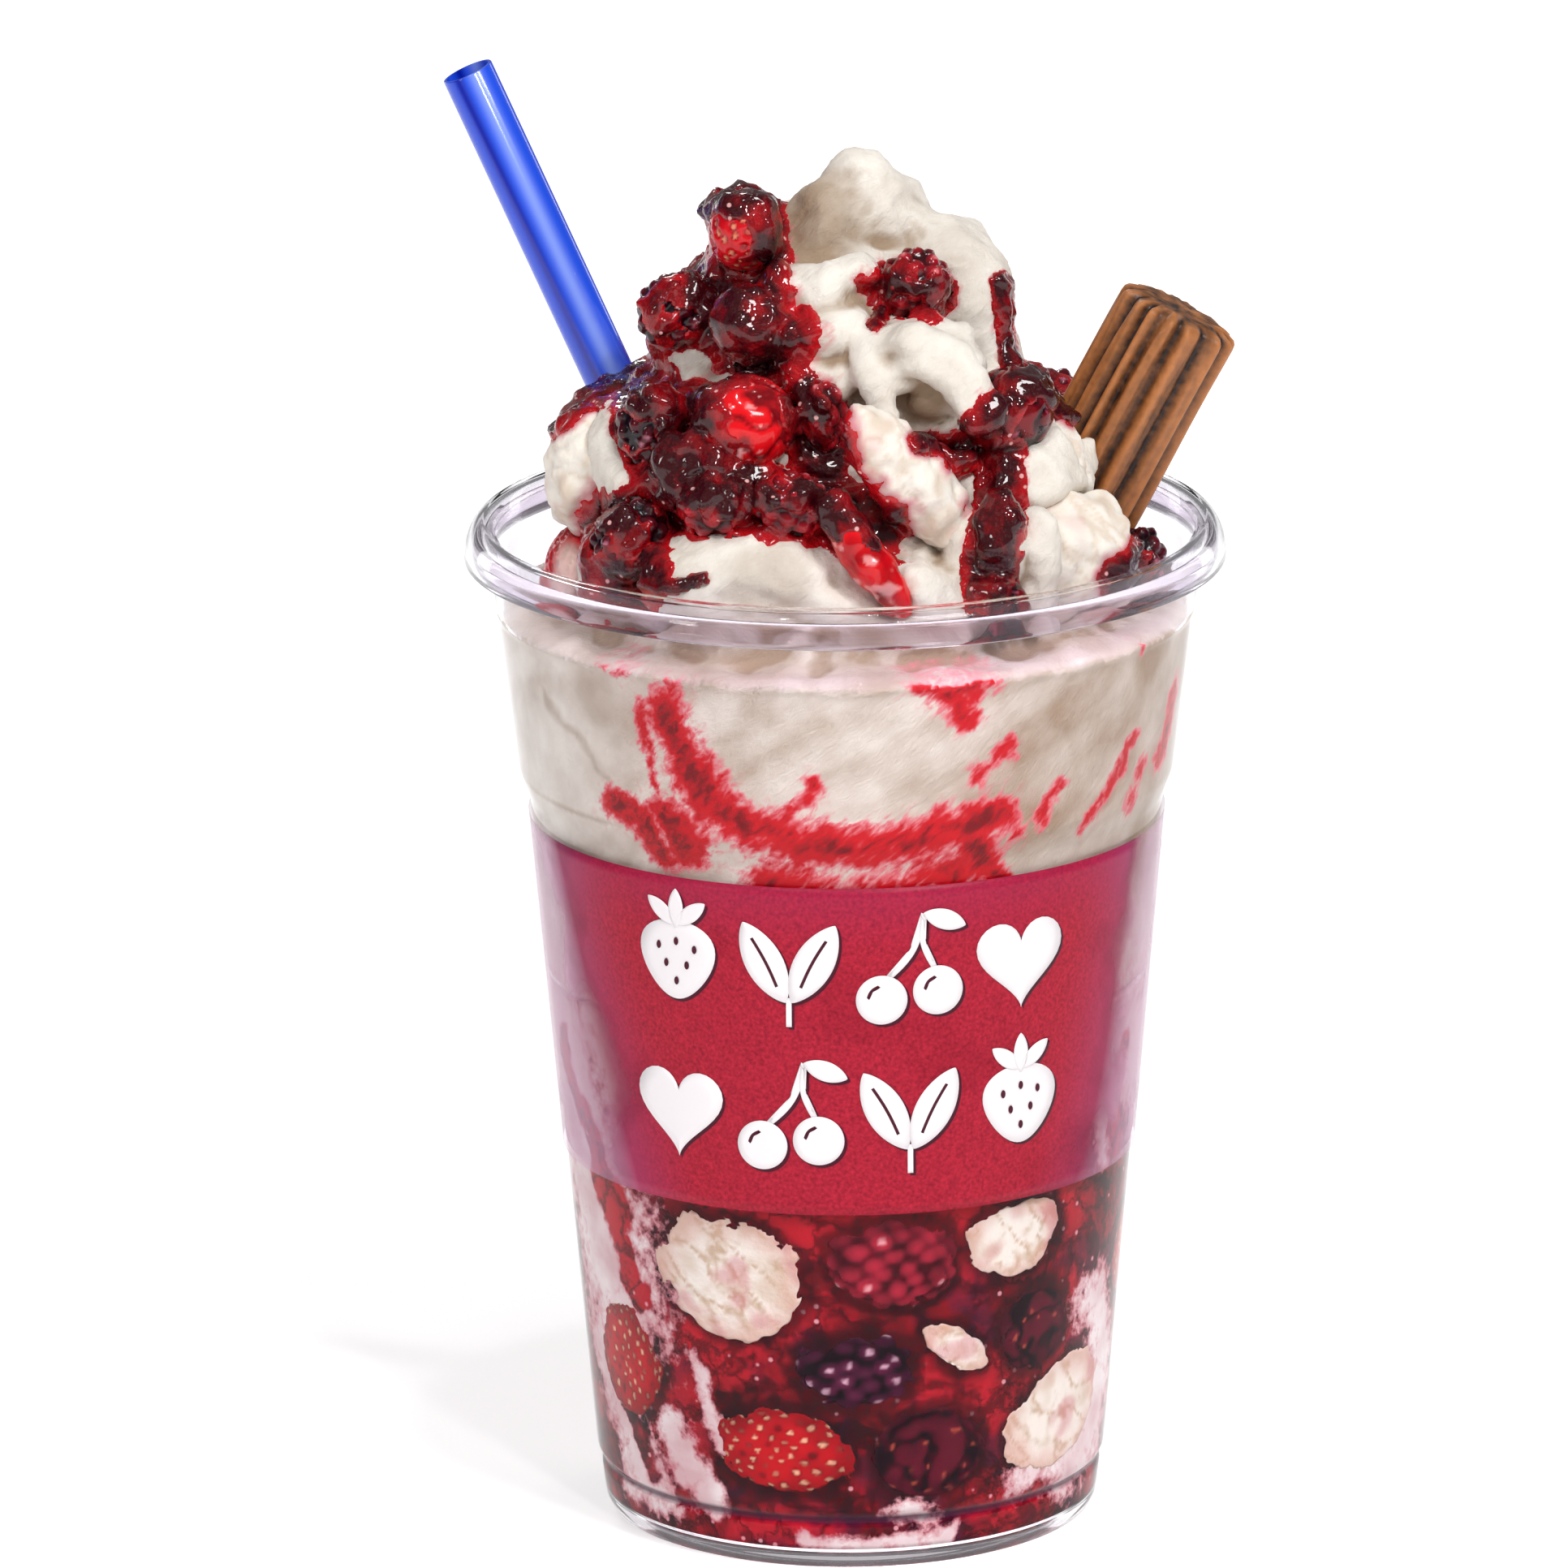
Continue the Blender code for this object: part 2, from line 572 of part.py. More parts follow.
def main():
    clear_scene()
    make_cup()
    make_band()
    make_straw()
    make_stick()
    holes = [
        rod("straw_hole", STRAW_TIP, STRAW_LEAN, STRAW_RADIUS + GAP, STRAW_LENGTH + GAP),
        rod("stick_hole", STICK_TOP, STICK_LEAN, STICK_RADIUS + GAP, STICK_LENGTH + 2 * GAP + 1),
    ]

    taper = [z for z, _ in WALL_LINE if FLOOR_TOP + WALL < z < CREAM_LEVEL]
    compote_heights = [FLOOR_TOP + WALL] + [z for z in taper if z < LAYER_SPLIT] + [LAYER_SPLIT]
    cream_heights = [LAYER_SPLIT + GAP] + [z for z in taper if z > LAYER_SPLIT] + [CREAM_LEVEL]
    compote = filling("berry_compote", "berry_compote", compote_heights, 0)
    cream = filling("whipped_cream", "whipped_cream", cream_heights, 1.5)

    # The fruit low in the cup: cropped flat by the wall, each in its own pocket in the compote
    low_rows = [
        (name, kind, on_wall(bearing, height, sizes, roll), sizes)
        for name, kind, bearing, height, sizes, roll in WALL_PIECES
    ]
    low_pieces, low_pockets = settle(low_rows)
    room = filling("room", "berry_compote", compote_heights, 0)
    for made in low_pieces:
        boolean(made, [room], "INTERSECT")
    boolean(compote, low_pockets + holes[:1], "DIFFERENCE")

    # The mound with its fruit and meringue
    mound = make_mound()
    boolean(cream, [mound], "UNION")
    top_rows = [
        (name, kind, on_mound(centre, turn), sizes)
        for name, kind, centre, sizes, turn in TOPPINGS + MERINGUES
    ]
    top_pieces, top_pockets = settle(top_rows)
    for made in top_pieces:
        crowding = [hole for hole in holes if near(made, hole)]
        if crowding:
            boolean(made, crowding, "DIFFERENCE")
    boolean(cream, top_pockets + holes, "DIFFERENCE")
    remove([mound, room] + low_pockets + top_pockets + holes)


main()
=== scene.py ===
# %% [markdown]
# # Eton mess in a clear cup
#
# The real thing is a takeaway cup, filled with stewed berries and whipped cream, heaped above the
# rim and finished with sauce, fruit, meringue, a drinking straw and a ribbed chocolate stick.
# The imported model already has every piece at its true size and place. This lesson gives each one
# its surface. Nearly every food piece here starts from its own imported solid, because a shape that
# grows out of the solid can't end up in the wrong place or at the wrong size.

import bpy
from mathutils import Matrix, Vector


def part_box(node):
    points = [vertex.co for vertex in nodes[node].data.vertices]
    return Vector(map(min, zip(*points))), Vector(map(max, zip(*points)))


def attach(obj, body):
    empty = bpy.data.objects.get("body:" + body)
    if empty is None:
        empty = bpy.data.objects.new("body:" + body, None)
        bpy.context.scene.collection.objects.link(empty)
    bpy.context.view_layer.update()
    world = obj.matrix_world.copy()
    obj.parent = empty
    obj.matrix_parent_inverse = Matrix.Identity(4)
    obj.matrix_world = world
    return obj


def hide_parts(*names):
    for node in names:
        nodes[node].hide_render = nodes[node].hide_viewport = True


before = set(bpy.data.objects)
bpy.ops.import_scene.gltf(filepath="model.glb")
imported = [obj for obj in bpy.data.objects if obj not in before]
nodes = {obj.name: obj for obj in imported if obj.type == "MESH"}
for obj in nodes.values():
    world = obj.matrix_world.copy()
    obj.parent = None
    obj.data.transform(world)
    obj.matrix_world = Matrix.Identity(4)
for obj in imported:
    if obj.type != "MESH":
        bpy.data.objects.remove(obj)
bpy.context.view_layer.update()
print("packed nodes:", len(nodes))

# %% Blender's modules and the unit
import math

import bmesh
import bpy
import numpy as np
from mathutils import Matrix, Vector, noise
from mathutils.kdtree import KDTree

MM = 0.001  # every size below is in millimetres, and meshes are scaled by this at the end
BODY = "root"

# %% [markdown]
# ## Small helpers
#
# Colours are written as sRGB hex, as a colour picker shows them, and one function turns them into
# the linear values that the shaders want. Another function adds a shader node with its settings and
# its inputs. An input is a plain value, an output socket, or a whole node, which stands for the first
# output that it offers.

# %% Colours and shader nodes
def colour(code):
    """An sRGB hex colour as linear red, green, blue and alpha."""
    shares = [int(code[k : k + 2], 16) / 255 for k in (1, 3, 5)]
    linear = [s / 12.92 if s <= 0.04045 else ((s + 0.055) / 1.055) ** 2.4 for s in shares]
    return (*linear, 1.0)


def first_output(value):
    """The first output that a node offers. A socket or a plain value is given back as it is."""
    if isinstance(value, bpy.types.Node):
        return next(socket for socket in value.outputs if socket.enabled)
    return value


def add(material, kind, inputs=None, **settings):
    """Adds one shader node to a material. A list of inputs is in their order, and a dict names them."""
    made = material.node_tree.nodes.new("ShaderNode" + kind)
    for name, value in settings.items():
        setattr(made, name, value)
    named = inputs.items() if isinstance(inputs, dict) else enumerate(inputs or [])
    for name, value in named:
        value = first_output(value)
        if isinstance(value, bpy.types.NodeSocket):
            material.node_tree.links.new(value, made.inputs[name])
        else:
            made.inputs[name].default_value = value
    return made


def new_material(name, **inputs):
    """A material with one Principled shader, whose inputs are given with _ for spaces."""
    material = bpy.data.materials.new(name)
    material.use_nodes = True
    shader = material.node_tree.nodes["Principled BSDF"]
    for key, value in inputs.items():
        shader.inputs[key.replace("_", " ")].default_value = value
    return material, shader


def link(material, output, shader, name):
    material.node_tree.links.new(first_output(output), shader.inputs[name])


print("cream white as linear:", [round(c, 3) for c in colour("#F1ECE6")])


# %% Meshes from arrays
def to_object(name, mesh, material, node=None):
    """Gives a mesh its object, material, body and slot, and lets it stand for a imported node."""
    made = bpy.data.objects.new(name, mesh)
    bpy.context.scene.collection.objects.link(made)
    mesh.materials.clear()
    mesh.materials.append(material)
    mesh.shade_smooth()
    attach(made, BODY)
    if node:
        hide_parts(node)
    return made


def mesh_of(name, points, faces):
    """A mesh from points in millimetres."""
    mesh = bpy.data.meshes.new(name)
    mesh.from_pydata([tuple(p * MM) for p in np.asarray(points, float)], [], [tuple(f) for f in faces])
    mesh.validate()
    mesh.update()
    return mesh


def points_of(mesh):
    flat = np.empty(len(mesh.vertices) * 3)
    mesh.vertices.foreach_get("co", flat)
    return flat.reshape(-1, 3) / MM


def normals_of(mesh):
    flat = np.empty(len(mesh.vertices) * 3)
    mesh.vertices.foreach_get("normal", flat)
    return flat.reshape(-1, 3)


def set_points(mesh, points):
    mesh.vertices.foreach_set("co", (points * MM).ravel())
    mesh.update()


def paint(mesh, name, values):
    """Stores one number per point, for the material to read."""
    layer = mesh.attributes.new(name, "FLOAT", "POINT")
    layer.data.foreach_set("value", np.clip(values, 0, 1).astype(np.float32))


def bumps(points, size, octaves=1, seed=0):
    """Smooth noise at each point, about -1 to 1, whose lumps are size millimetres apart."""
    shift = Vector((seed * 7.3, seed * 3.1, seed * 5.7))
    if octaves == 1:
        return np.array([noise.noise(Vector(p) + shift) for p in points / size])
    return np.array([noise.fractal(Vector(p) + shift, 1.0, 2.0, octaves) for p in points / size])


def ease(values, low, high):
    """0 below low, 1 above high, and a smooth rise between them."""
    share = np.clip((values - low) / (high - low), 0, 1)
    return share * share * (3 - 2 * share)


def evaluated(source, name, modifiers):
    """A new mesh: source with the modifiers, each given as (kind, settings), applied in turn."""
    helper = bpy.data.objects.new(name, source)
    bpy.context.scene.collection.objects.link(helper)
    for kind, settings in modifiers:
        modifier = helper.modifiers.new(kind, kind)
        for key, value in settings.items():
            setattr(modifier, key, value)
    graph = bpy.context.evaluated_depsgraph_get()
    mesh = bpy.data.meshes.new_from_object(helper.evaluated_get(graph))
    bpy.data.objects.remove(helper)
    mesh.name = name
    return mesh


def made_from(shape, name):
    """The finished mesh of a shape that was built up in bmesh."""
    mesh = bpy.data.meshes.new(name)
    shape.to_mesh(mesh)
    shape.free()
    return mesh


def packed_mesh(node):
    """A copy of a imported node's mesh with its split corners merged again."""
    shape = bmesh.new()
    shape.from_mesh(nodes[node].data)
    bmesh.ops.remove_doubles(shape, verts=shape.verts, dist=1e-5)
    return made_from(shape, node + "_copy")


def turned(name, outline, sides):
    """Spins a closed outline of (radius, height) points round the Z axis."""
    rows = len(outline)
    turn = np.arange(sides) * 2 * math.pi / sides
    points = np.array([(r * math.cos(a), r * math.sin(a), z) for r, z in outline for a in turn])
    faces = []
    for row in range(rows):
        below, above = row * sides, (row + 1) % rows * sides
        for k in range(sides):
            after = (k + 1) % sides
            faces.append((below + k, below + after, above + after, above + k))
    return mesh_of(name, points, faces)


# %% [markdown]
# ## Camera, floor and light
#
# The photo is taken from about two metres away with a long lens, 15 degrees above level, so the
# cup's sides hardly converge. The look-at point and the picture's width are worked out from the
# scale of the photo. A clear cup shows only by what it reflects and bends. So the white room gets
# two grey cards at the sides, out of the picture, which draw its edges dark, and two tall narrow
# lights behind it, which draw a bright line down each side.

# %% Camera
PIXELS_PER_MM = 9.853
PICTURE_PIXELS = 1932
ELEVATION = math.radians(15.3)
ROLL = math.radians(0.43)
DISTANCE = 2.0
LOOK_AT = Vector((-0.00783, 0, 0.09354))

picture_width = PICTURE_PIXELS / PIXELS_PER_MM * MM
lens = bpy.data.cameras.new("camera")
lens.sensor_width = 36
lens.lens = lens.sensor_width * DISTANCE / picture_width
lens.clip_end = 20
camera = bpy.data.objects.new("camera", lens)
bpy.context.scene.collection.objects.link(camera)
backwards = Vector((0, -math.cos(ELEVATION), math.sin(ELEVATION)))
facing = backwards.to_track_quat("Z", "Y").to_matrix().to_4x4()
camera.matrix_world = (
    Matrix.Translation(LOOK_AT + backwards * DISTANCE) @ facing @ Matrix.Rotation(-ROLL, 4, "Z")
)
bpy.context.scene.camera = camera
bpy.context.scene.view_settings.view_transform = "Standard"
print("lens, mm:", round(lens.lens, 1))


# %% Floor and cards
def stage_card(name, centre, across, up, material):
    """A flat card about a centre, spanned by half its width and half its height."""
    centre, across, up = Vector(centre), Vector(across), Vector(up)
    corners = [centre - across - up, centre + across - up, centre + across + up, centre - across + up]
    mesh = bpy.data.meshes.new(name)
    mesh.from_pydata([tuple(c) for c in corners], [], [(0, 1, 2, 3)])
    mesh.materials.append(material)
    made = bpy.data.objects.new(name, mesh)
    bpy.context.scene.collection.objects.link(made)
    return made


paper, _ = new_material(
    "white_paper",
    Base_Color=colour("#FAFAFA"),
    Roughness=0.9,
    Emission_Color=colour("#FFFFFF"),
    Emission_Strength=0.46,
)
card, _ = new_material("grey_card", Base_Color=colour("#3A3050"), Roughness=0.9)
stage_card("floor", (0, 0, 0), (4, 0, 0), (0, 4, 0), paper)
stage_card("card_left", (-2.4, 0.3, 1.2), (0, 0.84, 0), (0, 0, 1.2), card)
stage_card("card_right", (2.4, 0.3, 1.2), (0, 0.84, 0), (0, 0, 1.2), card)


# %% Lights
def softbox(name, place, width, watts, height=None, aim=(0, 0, 0.12)):
    """An area light that faces the cup, square unless it is given a height."""
    data = bpy.data.lights.new(name, "AREA")
    data.shape = "RECTANGLE"
    data.size = width
    data.size_y = height or width
    data.energy = watts
    made = bpy.data.objects.new(name, data)
    made.location = place
    made.rotation_euler = (Vector(aim) - Vector(place)).to_track_quat("-Z", "Y").to_euler()
    bpy.context.scene.collection.objects.link(made)


softbox("key_light", (0.85, -1.1, 1.75), 0.5, 22.5)
softbox("fill_light", (-1.6, -1.3, 0.8), 0.3, 5.5)
softbox("sparkle_left", (-0.35, -0.8, 1.2), 0.05, 2.6)
softbox("sparkle_right", (0.3, -0.9, 0.9), 0.05, 1.8)
softbox("sparkle_top", (0.1, -0.35, 1.3), 0.06, 2.0)
softbox("back_light", (-0.4, 1.8, 1.4), 0.35, 8.0)
softbox("edge_left", (-0.8, 0.95, 0.35), 0.2, 1.3, height=0.8)
softbox("edge_right", (0.8, 0.95, 0.35), 0.2, 1.3, height=0.8)
room = bpy.data.worlds.new("white_room")
room.use_nodes = True
room.node_tree.nodes["Background"].inputs["Color"].default_value = colour("#FFFFFF")
room.node_tree.nodes["Background"].inputs["Strength"].default_value = 0.2
bpy.context.scene.world = room

# %% [markdown]
# ## The cup
#
# A cold-drinks cup is PET sheet, heated and pulled into a mould, so its wall is thin and even and
# its rim is rolled outwards. It could be a cylinder with a glass material, but the look comes from
# its small steps: the stacking shoulder, the fine ring, the groove and the curl each catch a line
# of light. So the true profile is turned round the axis, with an outline as fine as the light needs.

# %% Wall profile
WALL = 0.8
FLOOR_TOP = 2.3
BASE_LINE = [(0.6, 30.4), (1.8, 31.0), (5.9, 31.5), (6.9, 31.1), (8.0, 32.0)]
WALL_LINE = BASE_LINE + [(93.0, 39.6), (96.5, 40.9), (116.2, 43.3), (116.9, 43.7), (122.6, 44.1)]
RIM_CENTRE = (44.9, 123.4)
RIM_REACH = (2.6, 4.6)
CREAM_LEVEL = 118.0
LAYER_SPLIT = 70.0
SINK = 0.12  # how far the filling reaches into the wall, so that no air gap shows


def outer_radius(height):
    heights, radii = zip(*WALL_LINE)
    return np.interp(height, heights, radii)


def inner_radius(height):
    return outer_radius(height) - WALL


def rim_arc(shrink, steps=14):
    angles = [math.pi / 2 * k / steps for k in range(steps + 1)]
    reach = [r - shrink for r in RIM_REACH]
    return [
        (RIM_CENTRE[0] + reach[0] * math.cos(a), RIM_CENTRE[1] + reach[1] * math.sin(a)) for a in angles
    ]


def rounded_line(line, radius=0.5):
    """Rounds each inner corner of a line of (height, radius) points with a small three-point bend."""
    result = [line[0]]
    for before, corner, after in zip(line, line[1:], line[2:]):
        b, c, a = (np.array(p, float) for p in (before, corner, after))
        start = c + (b - c) * min(0.45, radius / np.linalg.norm(b - c))
        end = c + (a - c) * min(0.45, radius / np.linalg.norm(a - c))
        result += [tuple(start), tuple((start + end) / 4 + c / 2), tuple(end)]
    return result + [line[-1]]


smooth_wall = rounded_line(WALL_LINE)
print("wall outline points:", len(smooth_wall))

# %% [markdown]
# PET is as clear as glass. Its index of refraction is 1.57, which in a white room mirrors so much
# floor that it greys the dark fruit behind it, so it is matched down to 1.22. A ray from a lamp can't
# find its way through bent glass by itself, so the shader lets shadow rays pass straight through.
# The contents are then lit as they are in a real thin-walled cup.

# %% Clear plastic
def clear_plastic(name, tint, shadow_tint, **inputs):
    """Plastic that bends light for the eye and lets shadow rays straight through."""
    made, shader = new_material(name, Base_Color=colour(tint), Transmission_Weight=1.0, **inputs)
    rays = add(made, "LightPath")
    pane = add(made, "BsdfTransparent", {"Color": colour(shadow_tint)})
    chosen = add(made, "MixShader", [rays.outputs["Is Shadow Ray"], shader, pane])
    link(made, chosen, made.node_tree.nodes["Material Output"], "Surface")
    return made


pet = clear_plastic("clear_moulded_pet", "#F6F4F8", "#F8F6FA", Roughness=0.03, IOR=1.22)

# %% Cup mesh
CUP_SIDES = 160
AXIS = 0.01  # mm, because a ring of no radius would make faces of no area
FOOT = [(25.3, 1.5), (26.4, 0.9), (26.8, 0.1), (27.1, 0.0), (28.9, 0.0), (29.3, 0.15)]
LIP_TURN = 127.2  # mm up, where the rim's roll turns down into the wall
outside = [(r, z) for z, r in smooth_wall]
inside = [(r - WALL, z) for z, r in smooth_wall if z > FLOOR_TOP + WALL][::-1]
under_rim = rim_arc(WALL)[::-1]
under_rim[0] = (outside[-1][0] + WALL / 4, under_rim[1][1])
outline = (
    [(AXIS, FOOT[0][1])]
    + FOOT
    + outside
    + under_rim
    + rim_arc(0)
    + [(inside[0][0] + WALL / 2, LIP_TURN)]
    + inside
    + [(30.3, FLOOR_TOP + WALL), (30.0, FLOOR_TOP + 0.2), (29.6, FLOOR_TOP), (AXIS, FLOOR_TOP)]
)
cup_mesh = turned("clear_cup", outline, CUP_SIDES)
to_object("clear_cup", cup_mesh, pet, "cup")
print("cup faces:", len(cup_mesh.polygons))

# %% [markdown]
# The rim's sheet is rolled in on itself, and one more turn of it shows inside the lip as a second
# bright line. Light crosses more plastic there, so that turn is tinted a little.

# %% Inner turn of the rim
CURL_CENTRE = (45.5, 124.4)
CURL_REACH = (0.95, 1.7)
rolled = clear_plastic("rolled_pet", "#F4ECF6", "#F0ECF4", Roughness=0.05, IOR=1.34)
around = np.linspace(0, 2 * math.pi, 24, endpoint=False)
curl_line = [
    (CURL_CENTRE[0] + CURL_REACH[0] * math.cos(a), CURL_CENTRE[1] + CURL_REACH[1] * math.sin(a))
    for a in around
]
to_object("rim_curl", turned("rim_curl", curl_line, CUP_SIDES), rolled)

# %% [markdown]
# ## The printed band
#
# A thin clear film is printed with a fine dot screen of raspberry red and wrapped round the cup. The
# print fades out at the sides, where the dessert shows through it. Towards the print's ends, where the
# film turns away, and along its top, the red darkens to plum as painted shade, and the bare film is
# pale lavender, part milky film and part painted sheen.
# It could be a texture on the cup, but as its own skin just outside the wall it hides and shadows
# what is behind it as the real film does. Its colour and cover are worked out from the film's own
# height and bearing.

# %% Film material
BAND_BOTTOM = 48.0
BAND_TOP = 91.0
DOT_SCREEN = 0.45  # mm between the printed dots
film, film_shader = new_material("screen_printed_film", Roughness=0.35, IOR=1.5, Specular_IOR_Level=0.12)
where = add(film, "TexCoord").outputs["Object"]
grain = add(film, "TexNoise", {"Vector": where, "Scale": 1 / (DOT_SCREEN * MM), "Detail": 1.0})
cloud = add(film, "TexNoise", {"Vector": where, "Scale": 1 / (14 * MM), "Detail": 3.0})
side, cover = (add(film, "Attribute", attribute_name=n).outputs["Fac"] for n in ("side", "cover"))
red = add(film, "Mix", {0: grain, 6: colour("#700A20"), 7: colour("#CE2840")}, data_type="RGBA")
# painted shade: the print turns plum towards its ends, where the film turns away, and along its top
plum = add(film, "Mix", {0: side, 6: red, 7: colour("#9C2E5C")}, data_type="RGBA")
soft = add(film, "MapRange", [cloud, 0.35, 0.65, -0.3, 0.3])
dense = add(film, "Math", [cover, soft], operation="ADD", use_clamp=True)
opaque = add(film, "MapRange", [dense, 0.15, 0.85, 0.26, 0.97])
bare = add(film, "MapRange", [cover, 0.0, 0.6])
# the bare film's pale lavender is part milky film and part painted sheen
milky_film_and_sheen = add(film, "Mix", {0: bare, 6: colour("#E0B4D0"), 7: plum}, data_type="RGBA")
link(film, milky_film_and_sheen, film_shader, "Base Color")
link(film, opaque, film_shader, "Alpha")

# %% Film mesh
BAND_GAP = 0.3
BAND_THICKNESS = 0.12
PRINT_LEFT = (49, 17)  # degrees from the front where the print ends low down, and how many more high up
PRINT_RIGHT = (53, 12)
heights = np.linspace(BAND_BOTTOM, BAND_TOP, 30)
film_line = [(outer_radius(z) + BAND_GAP, z) for z in heights]
film_line += [(outer_radius(z) + BAND_GAP + BAND_THICKNESS, z) for z in heights[::-1]]
film_mesh = turned("printed_film", film_line, 240)
spots = points_of(film_mesh)
bearing = np.degrees(np.arctan2(spots[:, 0], -spots[:, 1]))
from_middle = np.where(np.abs(bearing) > 90, 180 - np.abs(bearing), np.abs(bearing))
lift = (spots[:, 2] - BAND_BOTTOM) / (BAND_TOP - BAND_BOTTOM)
left_end = PRINT_LEFT[0] + PRINT_LEFT[1] * lift
right_end = PRINT_RIGHT[0] + PRINT_RIGHT[1] * np.sqrt(np.clip(lift, 0, 1))
print_end = np.where(bearing < 0, left_end, right_end)
inside_print = print_end - from_middle
softness = 6 + 9 * (1 - lift)
# the side attribute is painted shade: high towards the print's ends and along the film's top
paint(film_mesh, "side", 1 - ease(inside_print, -6, 20) + 0.3 * ease(lift, 0.78, 1))
paint(film_mesh, "cover", np.clip(0.5 + 0.5 * inside_print / softness, 0, 1))
to_object("printed_film", film_mesh, film, "printed_band")

# %% [markdown]
# ### Fruit motifs
#
# Two rows of plain white fruit are printed on the film, with a thin dark edge to their lower right.
# They could be text or a texture, but as thin meshes bent round the cup they stay crisp at any
# distance. Each shape is an outline in flat millimetres. It is filled by rings that shrink to its
# middle, and its points are then wrapped on the film.

# %% Motif outlines
turn = np.linspace(0, 2 * math.pi, 48, endpoint=False)


def shifted(outline, across, up, angle=0.0):
    c, s = math.cos(angle), math.sin(angle)
    return np.asarray(outline) @ np.array([[c, s], [-s, c]]) + [across, up]


def disc(radius):
    return np.c_[radius * np.cos(turn), radius * np.sin(turn)]


def leaf(length, width):
    return np.c_[length / 2 * np.cos(turn), width / 2 * np.sin(turn) * np.abs(np.sin(turn)) ** 0.6]


def berry_body(width, height):
    return np.c_[width / 2 * np.sin(turn) * (1 + 0.28 * np.cos(turn)), height / 2 * np.cos(turn)]


def heart(size):
    x = 16 * np.sin(turn) ** 3
    y = 13 * np.cos(turn) - 5 * np.cos(2 * turn) - 2 * np.cos(3 * turn) - np.cos(4 * turn)
    return np.c_[x, y] * size / 32


def stem(start, end, bend, width=0.7):
    """A thin curved stalk, as a closed outline round a bent line."""
    s = np.linspace(0, 1, 24)[:, None]
    start, end = np.array(start), np.array(end)
    side = np.array([-(end - start)[1], (end - start)[0]]) / np.linalg.norm(end - start)
    middle = start + (end - start) * s + side * bend * np.sin(math.pi * s)
    return np.r_[middle + side * width / 2, (middle - side * width / 2)[::-1]]


def dots(places, radius=0.42):
    return [shifted(disc(radius) * [0.75, 1.25], x, y) for x, y in places]


crown_of_leaves = [
    shifted(leaf(5.2, 2.1), a * 2.1, 6.2 + 0.5 * (1 - abs(a)), math.radians(90 - 52 * a))
    for a in (-1, 0, 1)
]
MOTIFS = {
    "strawberry": [berry_body(10.6, 10.4)] + crown_of_leaves,
    "cherries": [
        shifted(disc(3.2), -3.5, -3.8),
        shifted(disc(3.2), 3.6, -2.9),
        stem((-2.9, -1.2), (1.8, 7.2), -1.1),
        stem((3.2, 0), (1.8, 7.2), 0.8),
        shifted(leaf(5.8, 2.6), 4.5, 6.3, -0.35),
    ],
    "heart": [heart(12.6)],
    "leaves": [
        shifted(leaf(11.6, 4.9), -3.1, 0.9, math.radians(118)),
        shifted(leaf(11.6, 4.9), 3.1, 0.9, math.radians(62)),
        stem((0, -7.4), (0, -3.6), 0.0),
    ],
}
DETAILS = {
    # small plum marks on the white: seeds, midribs, and a shine on each cherry
    "strawberry": dots([(-2.6, 1.6), (0, 2.4), (2.6, 1.6), (-1.5, -0.6), (1.5, -0.6), (0, -2.8)]),
    "cherries": [stem((-5.2, -3.6), (-3.8, -2.0), 0.3, 0.4), stem((1.9, -2.7), (3.3, -1.1), 0.3, 0.4)],
    "heart": [],
    "leaves": [stem((-1.5, -2.2), (-4.7, 4), -0.2, 0.4), stem((1.5, -2.2), (4.7, 4), 0.2, 0.4)],
}
MOTIF_ROWS = {
    80.2: ("strawberry", "leaves", "cherries", "heart"),
    60.8: ("heart", "cherries", "leaves", "strawberry"),
}
MOTIF_PITCH = 15.0
RING_SHARES = (1.0, 0.7, 0.4, 0.12)


def wrapped(outlines, out_by, shift_by):
    """Points and faces of filled outlines, wrapped on the film at so many mm outside it."""
    points, faces = [], []
    for outline in outlines:
        first = len(points)
        count = len(outline)
        middle = outline.mean(axis=0)
        for share in RING_SHARES:
            points += [tuple(middle + (p - middle) * share + shift_by) for p in outline]
        for ring in range(len(RING_SHARES) - 1):
            for k in range(count):
                a, b = first + ring * count + k, first + ring * count + (k + 1) % count
                faces.append((a, b, b + count, a + count))
        faces.append(tuple(first + (len(RING_SHARES) - 1) * count + k for k in range(count)))
    flat = np.array(points)
    reach = outer_radius(flat[:, 1]) + BAND_GAP + BAND_THICKNESS + out_by
    angle = flat[:, 0] / reach
    return np.c_[reach * np.sin(angle), -reach * np.cos(angle), flat[:, 1]], faces


# %% Motif meshes
INK_THICKNESS = 0.05
white_ink, dark_ink = (
    new_material(name, Base_Color=colour(code), Roughness=0.5, Specular_IOR_Level=0.2)[0]
    for name, code in (("white_screen_ink", "#F0EAEC"), ("plum_screen_ink", "#4A0A22"))
)
placed, marks = [], []
for height, names in MOTIF_ROWS.items():
    for k, name in enumerate(names):
        across = (k - (len(names) - 1) / 2) * MOTIF_PITCH
        placed += [shifted(outline, across, height) for outline in MOTIFS[name]]
        marks += [shifted(outline, across, height) for outline in DETAILS[name]]
for name, outlines, material, out_by, shift_by in (
    ("white_motifs", placed, white_ink, 0.1, (0.0, 0.0)),
    ("plum_motif_edges", placed, dark_ink, 0.04, (0.35, -0.35)),
    ("plum_motif_marks", marks, dark_ink, 0.16, (0.0, 0.0)),
):
    points, faces = wrapped(outlines, out_by, np.array(shift_by))
    flat_mesh = mesh_of(name + "_flat", points, faces)
    thickened = ("SOLIDIFY", {"thickness": INK_THICKNESS * MM, "offset": 1.0})
    to_object(name, evaluated(flat_mesh, name, [thickened]), material)
print("printed outlines:", len(placed))

